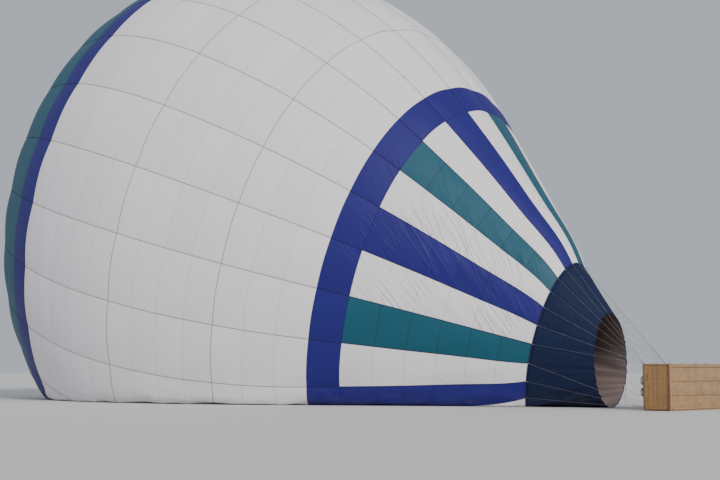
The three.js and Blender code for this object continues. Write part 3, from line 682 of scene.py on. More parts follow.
class Shape:
    """Collects simple closed bodies in one mesh."""

    def __init__(self):
        self.vertices, self.faces = [], []

    def add(self, vertices, faces):
        start = len(self.vertices)
        self.vertices += vertices
        self.faces += [[start + i for i in face] for face in faces]
        return self

    def box(self, low, high, edge):
        """A box with its edges cut off by a small bevel."""
        work = bmesh.new()
        low, high = Vector(low), Vector(high)
        bmesh.ops.create_cube(work, size=1, matrix=Matrix.Translation(
            (high + low) / 2) @ Matrix.Diagonal((*(high - low), 1)))
        bmesh.ops.bevel(
            work, geom=work.edges[:], offset=edge, segments=2, profile=0.6, affect="EDGES")
        work.verts.index_update()
        self.add([v.co.copy() for v in work.verts], [[v.index for v in f.verts] for f in work.faces])
        work.free()
        return self

    def sweep(self, points, radius, sides=16, closed=False, flat=None, up=(0, 0, 1)):
        """A bar of round or flat section along points. flat is (along up, across) in half sizes."""
        points = [Vector(point) for point in points]
        count = len(points)
        high, wide = flat or (radius, radius)
        power = 0.5 if flat else 1.0
        vertices = []
        for i, point in enumerate(points):
            before = points[i - 1] if i or closed else point
            after = points[(i + 1) % count] if i < count - 1 or closed else point
            way = (after - before).normalized()
            side = way.cross(Vector(up))
            side = (side if side.length > 1e-4 else way.orthogonal()).normalized()
            over = side.cross(way)
            mitre = max((after - point).normalized().dot(way), 0.4)
            stretch = 1 / mitre if 0 < i < count - 1 or closed else 1.0
            for spoke in circle(1.0, sides, first=0.5):
                c, s = (math.copysign(abs(part) ** power, part) for part in spoke[:2])
                vertices.append(point + side * (c * wide * stretch) + over * (s * high))
        total, faces = len(vertices), []
        for i in range(count if closed else count - 1):
            for k in range(sides):
                a, b = i * sides + k, i * sides + (k + 1) % sides
                faces.append((a, b, (b + sides) % total, (a + sides) % total))
        if not closed:
            faces += [range(sides)[::-1], range(total - sides, total)]
        return self.add(vertices, faces)

    def lathe(self, profile, sides, centre=(0, 0, 0)):
        """A body turned round an upright line through centre, from (radius, height) pairs."""
        vertices, rings, faces = [], [], []
        for radius, z in profile:
            count = sides if radius > 0 else 1
            rings.append([len(vertices) + k % count for k in range(sides)])
            vertices += [Vector(centre) + point for point in circle(radius, count, z)]
        for low, high in zip(rings, rings[1:]):
            for k in range(sides):
                after = (k + 1) % sides
                face = list(dict.fromkeys((low[k], low[after], high[after], high[k])))
                if len(face) > 2:
                    faces.append(face)
        return self.add(vertices, faces)

    def piece(self, name, slot, finish, *nodes, body="balloon", place=GONDOLA, degrees=35):
        """Makes one piece of the bodies, with sharp edges where faces meet at a greater angle."""
        mesh = bpy.data.meshes.new(name)
        mesh.from_pydata(self.vertices, [], self.faces)
        mesh.validate(clean_customdata=False)
        work = bmesh.new()
        work.from_mesh(mesh)
        bmesh.ops.recalc_face_normals(work, faces=work.faces)
        for face in work.faces:
            face.smooth = True
        for edge in work.edges:
            angle = edge.calc_face_angle(0)
            edge.smooth = len(edge.link_faces) == 2 and angle < math.radians(degrees)
        work.to_mesh(mesh)
        work.free()
        if place:
            mesh.transform(place)
        return add_piece(name, mesh, slot, finish, *nodes, body=body)


# Geometry Nodes

def ribbons(nodes, given):
    """Tapes along lines, turned to lie flat on the surface under them."""
    out = nodes.add("GeometryNodeInputNamedAttribute", {"Name": "out"}, data_type="FLOAT_VECTOR")
    curve = nodes.add("GeometryNodeSetCurveNormal", {
        "Curve": nodes.curve(given["Geometry"]), "Normal": out}, mode="FREE")
    profile = nodes.add("GeometryNodeCurvePrimitiveQuadrilateral", {
        "Width": given["Thickness"], "Height": given["Width"]})
    return nodes.swept(curve, profile)


def tubes(nodes, given):
    """Round wires and ropes along lines."""
    profile = nodes.circle(given["Sides"], given["Radius"])
    return nodes.together(nodes.swept(nodes.curve(given["Geometry"]), profile))


def coils(nodes, given):
    """An outer and an inner coil, the inner one a little higher."""
    made = []
    for radius, lift in ((given["Outer"], 0.0), (given["Inner"], 0.012)):
        spiral = nodes.add("GeometryNodeCurveSpiral", {
            "Resolution": 24, "Rotations": given["Turns"], "Start Radius": radius,
            "End Radius": radius, "Height": given["Height"]})
        tube = nodes.swept(spiral, nodes.circle(7, given["Tube"]))
        made.append(nodes.add("GeometryNodeTransform", {0: tube, "Translation": (0, 0, lift)}))
    return nodes.together(*made)


def weave(nodes, given):
    """Upright stakes, and rods that pass before and behind them by turns."""
    pitch, rise = given["Stake Pitch"], given["Weaver Pitch"]
    posts = given["Stakes"] + 1.0
    number = nodes.add("GeometryNodeInputIndex")

    def repeated(shape, numbers, **places):
        places = {key.replace("_", " "): value for key, value in places.items()}
        spots = nodes.add("GeometryNodeMeshLine", places)
        placed = nodes.add("GeometryNodeInstanceOnPoints", {"Points": spots, "Instance": shape})
        return nodes.store(placed, "rod", numbers, domain="INSTANCE")

    def rods(sign, offset):
        line = nodes.line((0, 0, 0), nodes.join(given["Length"], 0.0, 0.0))
        line = nodes.add("GeometryNodeResampleCurve", {"Curve": line, "Count": posts})
        x = nodes.split(nodes.add("GeometryNodeInputPosition"))[0]
        wave = nodes.math("COSINE", x / pitch * math.pi) * (given["Swing"] * sign)
        line = nodes.add("GeometryNodeSetPosition", {
            "Geometry": line, "Offset": nodes.join(0.0, wave, 0.0)})
        return repeated(
            nodes.swept(line, nodes.circle(5, given["Rod"])), number * 2.0 + offset,
            Count=given["Rows"], Start_Location=nodes.join(0.0, 0.0, rise * offset),
            Offset=nodes.join(0.0, 0.0, rise * 2.0))

    stake = nodes.line((0, 0, 0), nodes.join(0.0, 0.0, given["Height"]))
    stakes = repeated(
        nodes.swept(stake, nodes.circle(6, given["Stake"])), number + 500.0,
        Count=posts, Offset=nodes.join(pitch, 0.0, 0.0))
    return nodes.together(stakes, rods(1.0, 0.5), rods(-1.0, 1.5))


def stitches(nodes, given):
    """Short stitches, evenly spaced along a line and lying along it."""
    points = nodes.add("GeometryNodeCurveToPoints", {
        "Curve": nodes.curve(given["Geometry"]), "Length": given["Pitch"]}, out=None, mode="LENGTH")
    line = nodes.line(*(nodes.join(0.0, 0.0, given["Pitch"] * end) for end in (-0.33, 0.33)))
    stitch = nodes.add("GeometryNodeCurveToMesh", {
        "Curve": line, "Profile Curve": nodes.circle(4, given["Thread"]), "Fill Caps": True})
    return nodes.add("GeometryNodeInstanceOnPoints", {
        "Points": points["Points"], "Instance": stitch, "Rotation": points["Rotation"]})


TREES = {
    "Ribbons": (ribbons, {"Width": 0.05, "Thickness": 0.006}),
    "Tubes": (tubes, {"Radius": 0.01, "Sides": 8}),
    "Coils": (coils, {"Turns": 15.0, "Outer": 0.17, "Inner": 0.14, "Height": 0.4, "Tube": 0.008}),
    "Wicker": (weave, {
        "Length": 1.0, "Height": 1.0, "Stakes": 12, "Stake Pitch": 0.075, "Rows": 20,
        "Weaver Pitch": 0.017, "Stake": 0.006, "Rod": 0.0105, "Swing": 0.0065}),
    "Stitches": (stitches, {"Pitch": 0.03, "Thread": 0.0016}),
}


def lines_mesh(lines, outs, closed):
    """Lines as loose edges, with the way out of the surface stored on their points."""
    points, edges = [], []
    for line in lines:
        start, count = len(points), len(line)
        points += [tuple(point) for point in line]
        edges += [(start + i, start + (i + 1) % count) for i in range(count - 1 + closed)]
    mesh = bpy.data.meshes.new("lines")
    mesh.from_pydata(points, edges, [])
    if outs is not None:
        keep(mesh, "out", np.concatenate(outs), "FLOAT_VECTOR")
    return mesh


def grow(name, finish, lines=(), outs=None, closed=False, place=None, **settings):
    """Runs a tree of Geometry Nodes on lines and returns the plain mesh that comes out."""
    make, takes = TREES[name]

    def fill(nodes, given):
        made = nodes.add("GeometryNodeRealizeInstances", {0: make(nodes, given)})
        return {"Geometry": nodes.add("GeometryNodeSetMaterial", {
            "Geometry": made, "Material": given["Material"]})}
    takes = {"Geometry": "Geometry", **takes, "Material": "Material"}
    tree = node_group(name, "GeometryNodeTree", takes, fill)
    holder = bpy.data.objects.new(name, lines_mesh(lines, outs, closed))
    bpy.context.scene.collection.objects.link(holder)
    modifier = holder.modifiers.new("grow", "NODES")
    modifier.node_group = tree
    sockets = {
        item.name: item.identifier for item in tree.interface.items_tree if item.in_out == "INPUT"}
    modifier[sockets["Material"]] = look(finish)
    for key, value in settings.items():
        modifier[sockets[key.replace("_", " ")]] = value
    graph = bpy.context.evaluated_depsgraph_get()
    made = bpy.data.meshes.new_from_object(
        holder.evaluated_get(graph), preserve_all_data_layers=True, depsgraph=graph)
    holder.modifiers.remove(modifier)
    bpy.data.objects.remove(holder)
    if place:
        made.transform(place)
    return made


# Envelope surface

def trace_gore(step=0.01):
    """The gore's line: length along it, and distance from the axis and along the axis."""
    radius, along, angle = MOUTH_RADIUS, 0.0, CONE_ANGLE
    line = []
    while radius > 0:
        s = len(line) * step
        line.append((s, radius, along))
        if s < SHOULDER_START:
            angle = CONE_ANGLE - (math.pi / 2 + CONE_ANGLE) * (s / TURN_LENGTH) ** TURN_POWER
        else:
            angle = max(-math.pi / 2, angle - step / SHOULDER_RADIUS)
        radius += math.sin(angle) * step
        along += math.cos(angle) * step
    return np.array(line).T


GORE_S, GORE_RADIUS, GORE_ALONG = trace_gore()
GORE_LENGTH = GORE_S[-1]
VALVE_EDGE = GORE_LENGTH - VALVE_RADIUS
CROWN_PLANE = float(np.interp(VALVE_EDGE, GORE_S, GORE_ALONG))


def round_axis(along, turn, over, aside):
    """Points round the envelope's axis, at a turn and at reaches over it and to its side."""
    points = AXIS * along[..., None] + OVER * (over * np.sin(turn))[..., None]
    points[..., 1] -= aside * np.cos(turn)
    return points + MOUTH_CENTRE


def seam_turn(g):
    return np.radians(FIRST_SEAM + g * GORE_DEGREES)


def free_skin(s, g):
    """Points of the smooth skin, s along a gore from the mouth and g in gores from the first seam."""
    beyond = np.minimum(s, 0)
    radius = np.interp(s, GORE_S, GORE_RADIUS) + beyond * math.sin(CONE_ANGLE)
    along = np.interp(s, GORE_S, GORE_ALONG) + beyond * math.cos(CONE_ANGLE)
    taken = radius * (1 - SLACK * np.exp(-((s - SLACK_AT) / SLACK_LENGTH) ** 2))
    upright = UPRIGHT + MOUTH_UPRIGHT * np.exp(-(s / MOUTH_FADE) ** 2)
    taller = upright + MOUTH_STRETCH * np.exp(-(s / STRETCH_FADE) ** 2)
    return round_axis(along, seam_turn(g), taken * taller, taken / upright)


def crown_points(radius, g, lift):
    """Points on the crown's flat, which the air domes a little, raised outward by lift."""
    radius, g, lift = np.broadcast_arrays(radius, g, lift)
    along = CROWN_PLANE + lift + CROWN_DOME * (1 - (radius / VALVE_REACH) ** 2)
    return round_axis(along, seam_turn(g), radius * UPRIGHT, radius / UPRIGHT)


def across(surface, s, g, small=0.02, turn=0.01):
    """Unit normals out of a surface, from close points on it."""
    lengthways = surface(s + small, g) - surface(s - small, g)
    round_it = surface(s, g + turn) - surface(s, g - turn)
    out = np.cross(round_it, lengthways)
    return out / np.linalg.norm(out, axis=-1, keepdims=True)


def panel_row(s):
    """Panels counted from the mouth: a cross seam wherever this is whole."""
    ring = RING_ROW + (s - CROWN_RING_START) / (CROWN_RING_END - CROWN_RING_START)
    beyond = RING_ROW + 1 + (s - CROWN_RING_END) / PANEL
    return np.where(s < CROWN_RING_START, s / PANEL, np.where(s < CROWN_RING_END, ring, beyond))


def gore_width(s):
    return math.tau / GORES * np.interp(s, GORE_S, GORE_RADIUS)


def lobed(part):
    """Rises from 0 at one seam to 1 midway and falls to 0 at the next."""
    return 4 * part * (1 - part)


def soft_floor(points, softness=0.1):
    """Lets the skin come to rest on the floor in a small bend."""
    z = points[..., 2]
    points[..., 2] = 0.5 * (z + np.sqrt(z * z + softness * softness))
    return points


def skin(s, g):
    """Points of the cloth: bulging between seams, folded near the ground, resting on the floor."""
    points = free_skin(s, g)
    gore = np.floor(g)
    lobe = lobed(g - gore)
    whole = math.tau * g / GORES
    ends = np.clip(s / SEWN_FLAT_AT_MOUTH, 0, 1)
    ends = ends * np.clip((VALVE_EDGE - s) / SEWN_FLAT_AT_CROWN, 0, 1)
    fuller = 1 + LOW_BULGE * np.exp(-s / LOW_BULGE_FADE)
    bulge = sizes().gore_bulge * gore_width(s) * lobe * ends * fuller
    quilt = sizes().quilting * np.abs(np.sin(math.pi * panel_row(s))) * lobe ** 0.5 * ends
    # folds close above the ground, in waves that wander along it
    x, z = points[..., 0], np.maximum(points[..., 2], -0.4)
    low = np.exp(-np.maximum(z, 0) / FOLD_FADE) * np.clip(s, 0, 1)
    wave = np.sin(7.0 * z + 0.55 * x + 1.7 * np.sin(0.45 * x) + 0.8 * np.sin(1.3 * x + 2.0))
    wave = wave + 0.5 * np.sin(11.0 * z - 0.8 * x + 1.1 * np.sin(0.9 * x + 1.0))
    folds = sizes().ground_folds * low * wave
    sway = SWAY * np.sin(0.7 * s + 14 * whole) * np.sin(10 * whole + 0.4 * s) * ends
    # slanting pulls in the slack gores of the lower cone
    aside = np.abs(np.abs(gore - WRINKLED_TOP) - WRINKLED_ASIDE)
    slack = np.clip(1.9 - 0.75 * aside, 0.12, 1) * np.exp(-((s - PULLS_AT) / PULLS_FADE) ** 2)
    slack = PULL_HEIGHT * slack
    skew = (g - gore - 0.5) * gore_width(s) * 1.3 - PULL_SLANT * s
    pulls = slack * lobe ** 0.5 * np.sin(6.6 * skew + 2.2 * np.sin(0.9 * s + 2.4 * gore) + gore)
    # tucks where the cloth lies on the ground
    sunk = np.clip(-points[..., 2] / TUCK_DEPTH, 0, 1) * ends
    turn = TUCKS * g + 0.3 * np.sin(0.8 * s) + 0.2 * np.sin(1.9 * s + g)
    tucks = sizes().floor_tucks * sunk * lobe ** 0.5 * (0.5 - 0.5 * np.cos(math.tau * turn))
    out = across(free_skin, s, g)
    points = soft_floor(points + out * (bulge + quilt + folds + sway + pulls)[..., None])
    points[..., 2] += tucks
    return points


def rows_between(start, end, apart=0.008):
    """Distances along the gore from start to end, closer together beside each cross seam."""
    table = np.linspace(0, GORE_LENGTH, 8001)
    low, high = panel_row(np.array([start, end]))
    inner = [whole + part for whole in range(int(low), math.ceil(high) + 1) for part in ROW_PARTS]
    inner = [row for row in inner if low + apart < row < high - apart]
    return np.array([start, *np.interp(inner, panel_row(table), table), end])


def columns_between(first, gores):
    """Gore numbers with fractions, closer together where the cloth lies on the ground in tucks."""
    made = []
    for gore in range(first, first + gores):
        lying = gore % GORES in GORES_ON_GROUND
        made += [gore + part for part in (TUCKED_PARTS if lying else COLUMN_PARTS)]
    return np.array(made + [first + gores], float)


def shell_mesh(outer, inner, ring=False):
    """One closed body between two grids of points, smooth but for its rim."""
    vertices = np.stack([outer, inner])
    index = np.arange(vertices[..., 0].size).reshape(vertices.shape[:3])
    if ring:
        index = np.concatenate([index, index[:, :, :1]], 2)
    front, back = index

    def wall(a, b, order=(0, 1, 2, 3)):
        """Faces between two lines of points, or between each line of two grids."""
        quads = np.stack([a[..., :-1], a[..., 1:], b[..., 1:], b[..., :-1]], -1)
        return quads.reshape(-1, 4)[:, order]
    sheets = [wall(front[:-1], front[1:]), wall(back[:-1], back[1:], (0, 3, 2, 1))]
    rims = [wall(front[0], back[0], (1, 0, 3, 2)), wall(front[-1], back[-1])]
    if not ring:
        rims += [wall(front[:, 0], back[:, 0]), wall(front[:, -1], back[:, -1], (1, 0, 3, 2))]
    faces = np.concatenate(sheets + rims)
    mesh = bpy.data.meshes.new("shell")
    mesh.vertices.add(vertices.size // 3)
    mesh.vertices.foreach_set("co", vertices.astype(np.float32).ravel())
    mesh.loops.add(faces.size)
    mesh.loops.foreach_set("vertex_index", faces.astype(np.int32).ravel())
    mesh.polygons.add(len(faces))
    mesh.polygons.foreach_set("loop_start", np.arange(0, faces.size, 4, dtype=np.int32))
    mesh.update(calc_edges=True)
    mesh.polygons.foreach_set("use_smooth", np.arange(len(faces)) < sum(map(len, sheets)))
    return mesh


def add_maps(mesh, s, g):
    """Stores what the sewn cloth reads: metres across and along, seams, panel rows and gores."""
    s, g = np.tile(s.ravel(), 2), np.tile(g.ravel(), 2)
    part, width = g - np.floor(g), gore_width(s)
    keep(mesh, "to_seam", np.minimum(part, 1 - part) * width)
    keep(mesh, "row", panel_row(s))
    corners = np.zeros(len(mesh.loops), np.int32)
    mesh.loops.foreach_get("vertex_index", corners)
    gore = np.floor(g[corners].reshape(-1, 4).mean(1) + 1e-6)
    keep(mesh, "gore", gore, domain="FACE")
    flat = np.stack([(g[corners] - np.repeat(gore, 4) - 0.5) * width[corners], s[corners]], -1)
    mesh.uv_layers.new(name="cloth").uv.foreach_set("vector", flat.astype(np.float32).ravel())


def cut_size(start, end, gores):
    """Width and length of a piece of the envelope as it was cut, and its area."""
    s = np.linspace(start, end, 60)
    width = gore_width(s) * gores
    return (float(width.max()), float(end - start)), float(width.mean() * (end - start))


def cloth_piece(name, start, end, first, gores, tint, *nodes):
    """A piece of the envelope between two distances and some seams, declared as a sheet."""
    s, g = np.meshgrid(rows_between(start, end), columns_between(first, gores), indexing="ij")
    outer = skin(s, g)
    inner = outer - across(skin, s, g) * CLOTH
    inner[..., 2] = np.maximum(inner[..., 2], outer[..., 2].min())
    mesh = shell_mesh(outer, inner)
    add_maps(mesh, s, g)
    piece = add_piece(name, mesh, f"{tint}_fabric", f"{tint}_ripstop", *nodes)
    flat, area = cut_size(start, end, gores)
    tapes = "lower" if end <= ARCH_END else "crown" if start >= CROWN_RING_START else "main"


class EnvelopeOperator(bpy.types.Operator):
    """Makes the cloth of the envelope, zone by zone"""

    bl_idname = "balloon.envelope"
    bl_label = "Envelope"

    def execute(self, context):
        for number, sector in enumerate(SECTORS):
            first = SECTOR_START + number * SECTOR_GORES
            for gore in range(first, first + SECTOR_GORES):
                tint = CONE_COLOURS[(gore + 1) % len(CONE_COLOURS)]
                cloth_piece(f"lower_gore_{gore - SECTOR_START + 1:02d}", 0, ARCH_START, gore, 1,
                            tint, f"lower_cone_{sector}")
            zones = (
                ("arch_ring", ARCH_START, ARCH_END, "navy", "arch_ring"),
                ("main_lower", ARCH_END, MAIN_SEAM, "white", f"main_lower_{sector}"),
                ("main_upper", MAIN_SEAM, CROWN_RING_START, "white", f"main_upper_{sector}"),
                ("crown_ring", CROWN_RING_START, CROWN_RING_END, "navy", "crown_ring"),
                ("crown_cap", CROWN_RING_END, VALVE_EDGE, "teal", f"crown_shoulder_{sector}",
                 f"crown_cap_{sector}"),
            )
            for zone, start, end, tint, *nodes in zones:
                cloth_piece(
                    f"{zone}_{sector}_cloth", start, end, first, SECTOR_GORES, tint, *nodes)
        return {"FINISHED"}


def tape_line(s, g):
    """Points of a tape that lies on the cloth, and its normals."""
    out = across(free_skin, s, g)
    line = skin(s, g) + out * TAPE_LIFT
    return line, np.where(line[:, 2:3] < 0.08, np.array([0.0, 0.0, -1.0]), out)


class TapesOperator(bpy.types.Operator):
    """Makes the load tapes along the gore seams and round the envelope, and the crown's ring"""

    bl_idname = "balloon.tapes"
    bl_label = "Load Tapes"

    def execute(self, context):
        width = sizes().seam_tape
        # columns: name, from, to, tape width, material
        runs = (
            ("load_tapes_lower", 0.0, ARCH_END, width * 0.7, "dark_webbing"),
            ("load_tapes_main", ARCH_END, CROWN_RING_START, width, "pale_webbing"),
            ("load_tapes_crown", CROWN_RING_START, VALVE_EDGE, width, "dark_webbing"),
        )
        for name, start, end, wide, finish in runs:
            s = rows_between(start, end)
            lines, outs = zip(*(tape_line(s, np.full_like(s, g)) for g in range(GORES)))
            mesh = grow("Ribbons", finish, lines, outs, Width=wide, Thickness=TAPE_THICKNESS)
            add_piece(name, mesh, "load_tape")
        turns = columns_between(0, GORES)[:-1]
        for s, zone in ((LOWER_BAND, "lower"), (MAIN_SEAM, "main")):
            line, out = tape_line(np.full_like(turns, s), turns)
            mesh = grow("Ribbons", "pale_webbing", [line], [out], closed=True, Width=width,
                        Thickness=BAND_THICKNESS)
            add_piece(f"load_tape_{zone}_band", mesh, "load_tape")
        # tapes go on over the valve to a steel ring in the middle of the crown
        radii = np.linspace(CROWN_TAPE_START, CROWN_TAPE_END, 14)
        lines = [crown_points(radii, g, CROWN_LIFT) for g in range(GORES)]
        mesh = grow("Ribbons", "dark_webbing", lines, [[AXIS] * len(radii)] * GORES,
                    Width=CROWN_TAPE_WIDTH, Thickness=CROWN_TAPE_THICKNESS)
        add_piece("crown_tapes", mesh, "load_tape")
        ring = crown_points(STEEL_RING, np.arange(0, GORES, 0.5), CROWN_LIFT)
        Shape().sweep(ring, STEEL_RING_TUBE, 10, closed=True, up=AXIS).piece(
            "crown_ring_steel", "frame_steel", "ring_steel", place=None)
        return {"FINISHED"}


class ValveOperator(bpy.types.Operator):
    """Makes the parachute valve that closes the crown"""

    bl_idname = "balloon.valve"
    bl_label = "Parachute Valve"

    def execute(self, context):
        turns = [g + part for g in range(GORES) for part in VALVE_PARTS]
        radius, turn = np.meshgrid(VALVE_RINGS, turns, indexing="ij")
        lobe = VALVE_BULGE * lobed(turn % 1) * (radius / VALVE_REACH)
        lobe = lobe * np.clip((VALVE_RADIUS - radius) / VALVE_EDGE_FLAT, 0, 1)
        outer, inner = (
            crown_points(radius, turn, depth + lobe) for depth in (VALVE_DEPTH, VALVE_DEPTH - CLOTH))
        mesh = shell_mesh(outer, inner, ring=True)
        add_maps(mesh, GORE_LENGTH - radius, turn)
        piece = add_piece("parachute_valve_cloth", mesh, "white_fabric", "white_ripstop",
                          "parachute_valve", body="valve")
        ends = [crown_points(0.0, 0.0, depth) for depth in PATCH_DEPTHS]
        patch = Shape().sweep(ends, PATCH_RADIUS, 32).piece(
            "valve_centre_patch", "load_tape", "dark_webbing", body="valve", place=None)
        return {"FINISHED"}


# Mouth tape, scoop and wires

def scoop_point(s, g):
    """Points of the scoop's smooth skin: s is 0 at its rim and the scoop's length at the mouth."""
    turn = seam_turn(g)
    root = free_skin(np.full_like(s, -TAPE_WIDTH), g)
    root[..., 2] = np.maximum(root[..., 2], 0.0)
    rim = np.stack([
        np.full_like(s, MOUTH_X + SCOOP_LENGTH),
        -SCOOP_HALF_WIDTH * np.cos(turn),
        SCOOP_TOP / 2 * (1 + np.sin(turn))], -1)
    share = (s / SCOOP_LENGTH)[..., None]
    return rim * (1 - share) + root * share


def scoop_skin(s, g):
    """The scoop's cloth: hanging a little between its ties, with long soft folds."""
    lobe = lobed(g - np.floor(g))
    share = np.clip(s / SCOOP_LENGTH, 0, 1)
    points = scoop_point(s + SCOOP_SAG * lobe * (1 - share) ** 3, g)
    ends = np.clip((SCOOP_LENGTH - s) / 0.4, 0, 1)
    whole = math.tau * g / GORES
    folds = SCOOP_FOLDS * np.sin(11 * whole + 1.2 * np.sin(1.1 * s)) * np.sin(math.pi * share)
    folds = folds + SCOOP_CREASES * np.sin(40 * whole + 0.9 * s + 1.3 * np.sin(8 * whole))
    bulge = (SCOOP_BULGE * lobe * (0.4 + share) + folds) * ends
    return soft_floor(points + across(scoop_point, s, g) * bulge[..., None], 0.03)


def wire_ends(side, up, seams):
    """Where the wires of a corner start on the mouth tape and end at the load frame's lug."""
    for order, seam in enumerate(seams):
        s, g = np.array([-TAPE_WIDTH / 2]), np.array([float(seam)])
        start = free_skin(s, g)[0] + across(free_skin, s, g)[0] * (WIRE_HEIGHT + GAP)
        spread = (order - (len(seams) - 1) / 2) * WIRES_APART * side * up
        y = side * (FRAME_HALF - LUG_IN) + spread
        yield seam, start, np.array([LUG_X, y, MIDDLE + up * FRAME_HALF])


class MouthOperator(bpy.types.Operator):
    """Makes the mouth tape and the scoop with its hem and ties"""

    bl_idname = "balloon.mouth"
    bl_label = "Mouth and Scoop"

    def execute(self, context):
        turns = columns_between(0, GORES)[:-1]
        s, g = np.meshgrid(MOUTH_TAPE_ROWS, turns, indexing="ij")
        out = across(free_skin, s, g)
        swell = np.array(MOUTH_TAPE_SWELL)[:, None, None]
        outer = soft_floor(free_skin(s, g) + out * swell, 0.02)
        mesh = shell_mesh(outer, outer - out * CLOTH, ring=True)
        keep(mesh, "along", np.tile(g.ravel() * gore_width(0.0), 2))
        keep(mesh, "around", np.tile(s.ravel() / TAPE_WIDTH, 2))
        add_piece("mouth_tape_webbing", mesh, "load_tape", "dark_webbing", "mouth_tape")
        self.scoop(turns)
        return {"FINISHED"}

    @staticmethod
    def scoop(turns):
        s, g = np.meshgrid(SCOOP_ROWS, turns, indexing="ij")
        outer = scoop_skin(s, g)
        mesh = shell_mesh(outer, outer - across(scoop_skin, s, g) * CLOTH, ring=True)
        add_maps(mesh, s, g)
        keep(mesh, "inside", np.repeat([0.0, 1.0], s.size))
        sheet = add_piece("scoop_cloth", mesh, "scoop_fabric", "scoop_cloth", "scoop")
        edge = scoop_skin(np.zeros_like(turns), turns)
        hem = Shape().sweep(edge, HEM_RADIUS, 8, closed=True, up=(1, 0, 0)).piece(
            "scoop_hem", "load_tape", "dark_webbing", place=None)
        quarters = np.arange(0, GORES, 0.25)
        root = scoop_skin(np.full_like(quarters, SCOOP_LENGTH), quarters)
        around, rim = (
            np.linalg.norm(np.diff(line, axis=0), axis=1).sum() for line in (root, outer[0]))
        reach = np.linalg.norm(outer[-1] - outer[0], axis=-1).max()
        ties = []
        for _, side, up, seams in WIRES:
            for seam, start, end in wire_ends(side, up, seams):
                tie = scoop_skin(np.array([0.0]), np.array([float(seam)]))[0]
                share = np.clip((tie - start) @ (end - start) / np.sum((end - start) ** 2), 0, 1)
                on_wire = start + share * (end - start)
                if np.linalg.norm(on_wire - tie) < LONGEST_TIE:
                    ties.append([tie, on_wire])
        mesh = grow("Tubes", "dark_webbing", ties, Radius=TIE_RADIUS, Sides=6)
        add_piece("scoop_ties", mesh, "load_tape")


class WiresOperator(bpy.types.Operator):
    """Makes the flying wires between the mouth and the load frame"""

    bl_idname = "balloon.wires"
    bl_label = "Flying Wires"

    def execute(self, context):
        for name, side, up, seams in WIRES:
            lines, fittings = [], Shape()
            for _, start, end in wire_ends(side, up, seams):
                way = (end - start) / np.linalg.norm(end - start)
                end = end - way * (LUG + BOLT_HEAD)
                lines.append([start + way * 0.03, end])
                for point, reach in ((start, MOUTH_FITTING), (end, LUG_FITTING)):
                    fittings.sweep([point + way * along for along in reach], FITTING_RADIUS, 10)
            y, z = side * (FRAME_HALF - LUG_IN), MIDDLE + up * FRAME_HALF
            fittings.box((LUG_X - LUG, y - LUG_REACH, z - LUG),
                         (LUG_X + LUG, y + LUG_REACH, z + LUG), LUG_EDGE)
            for shift in BOLT_SHIFTS:
                bolt = [(LUG_X, y + shift, z + end * (LUG + BOLT_HEAD)) for end in (-1, 1)]
                fittings.sweep(bolt, BOLT_RADIUS, 10, up=(1, 0, 0))
            mesh = grow("Tubes", "steel_rope", lines, Radius=sizes().wire_radius, Sides=8)
            add_piece(f"wires_{name}", mesh, "wire")
            fittings.piece(f"wire_fittings_{name}", "frame_steel", "ring_steel",
                           f"flying_wires_{name}", place=None)
        return {"FINISHED"}


# Basket

def wicker_panel(name, length, height, x, y, turned, node):
    """A woven panel that stands on the basket's floor from x, y, along it or turned across."""
    stakes = max(round(length / sizes().stake_pitch), 2)
    rows = int(height / sizes().weaver_pitch / 2)
    place = GONDOLA @ Matrix.Translation((x, y, FLOOR_TOP + GAP))
    if turned:
        place = place @ Matrix.Rotation(math.pi / 2, 4, "Z")
    mesh = grow("Wicker", "varnished_willow", place=place, Length=length, Height=height,
                Stakes=stakes, Stake_Pitch=length / stakes, Rows=rows,
                Weaver_Pitch=height / rows / 2)
    add_piece(f"wicker_{name}", mesh, "wicker", None, node)


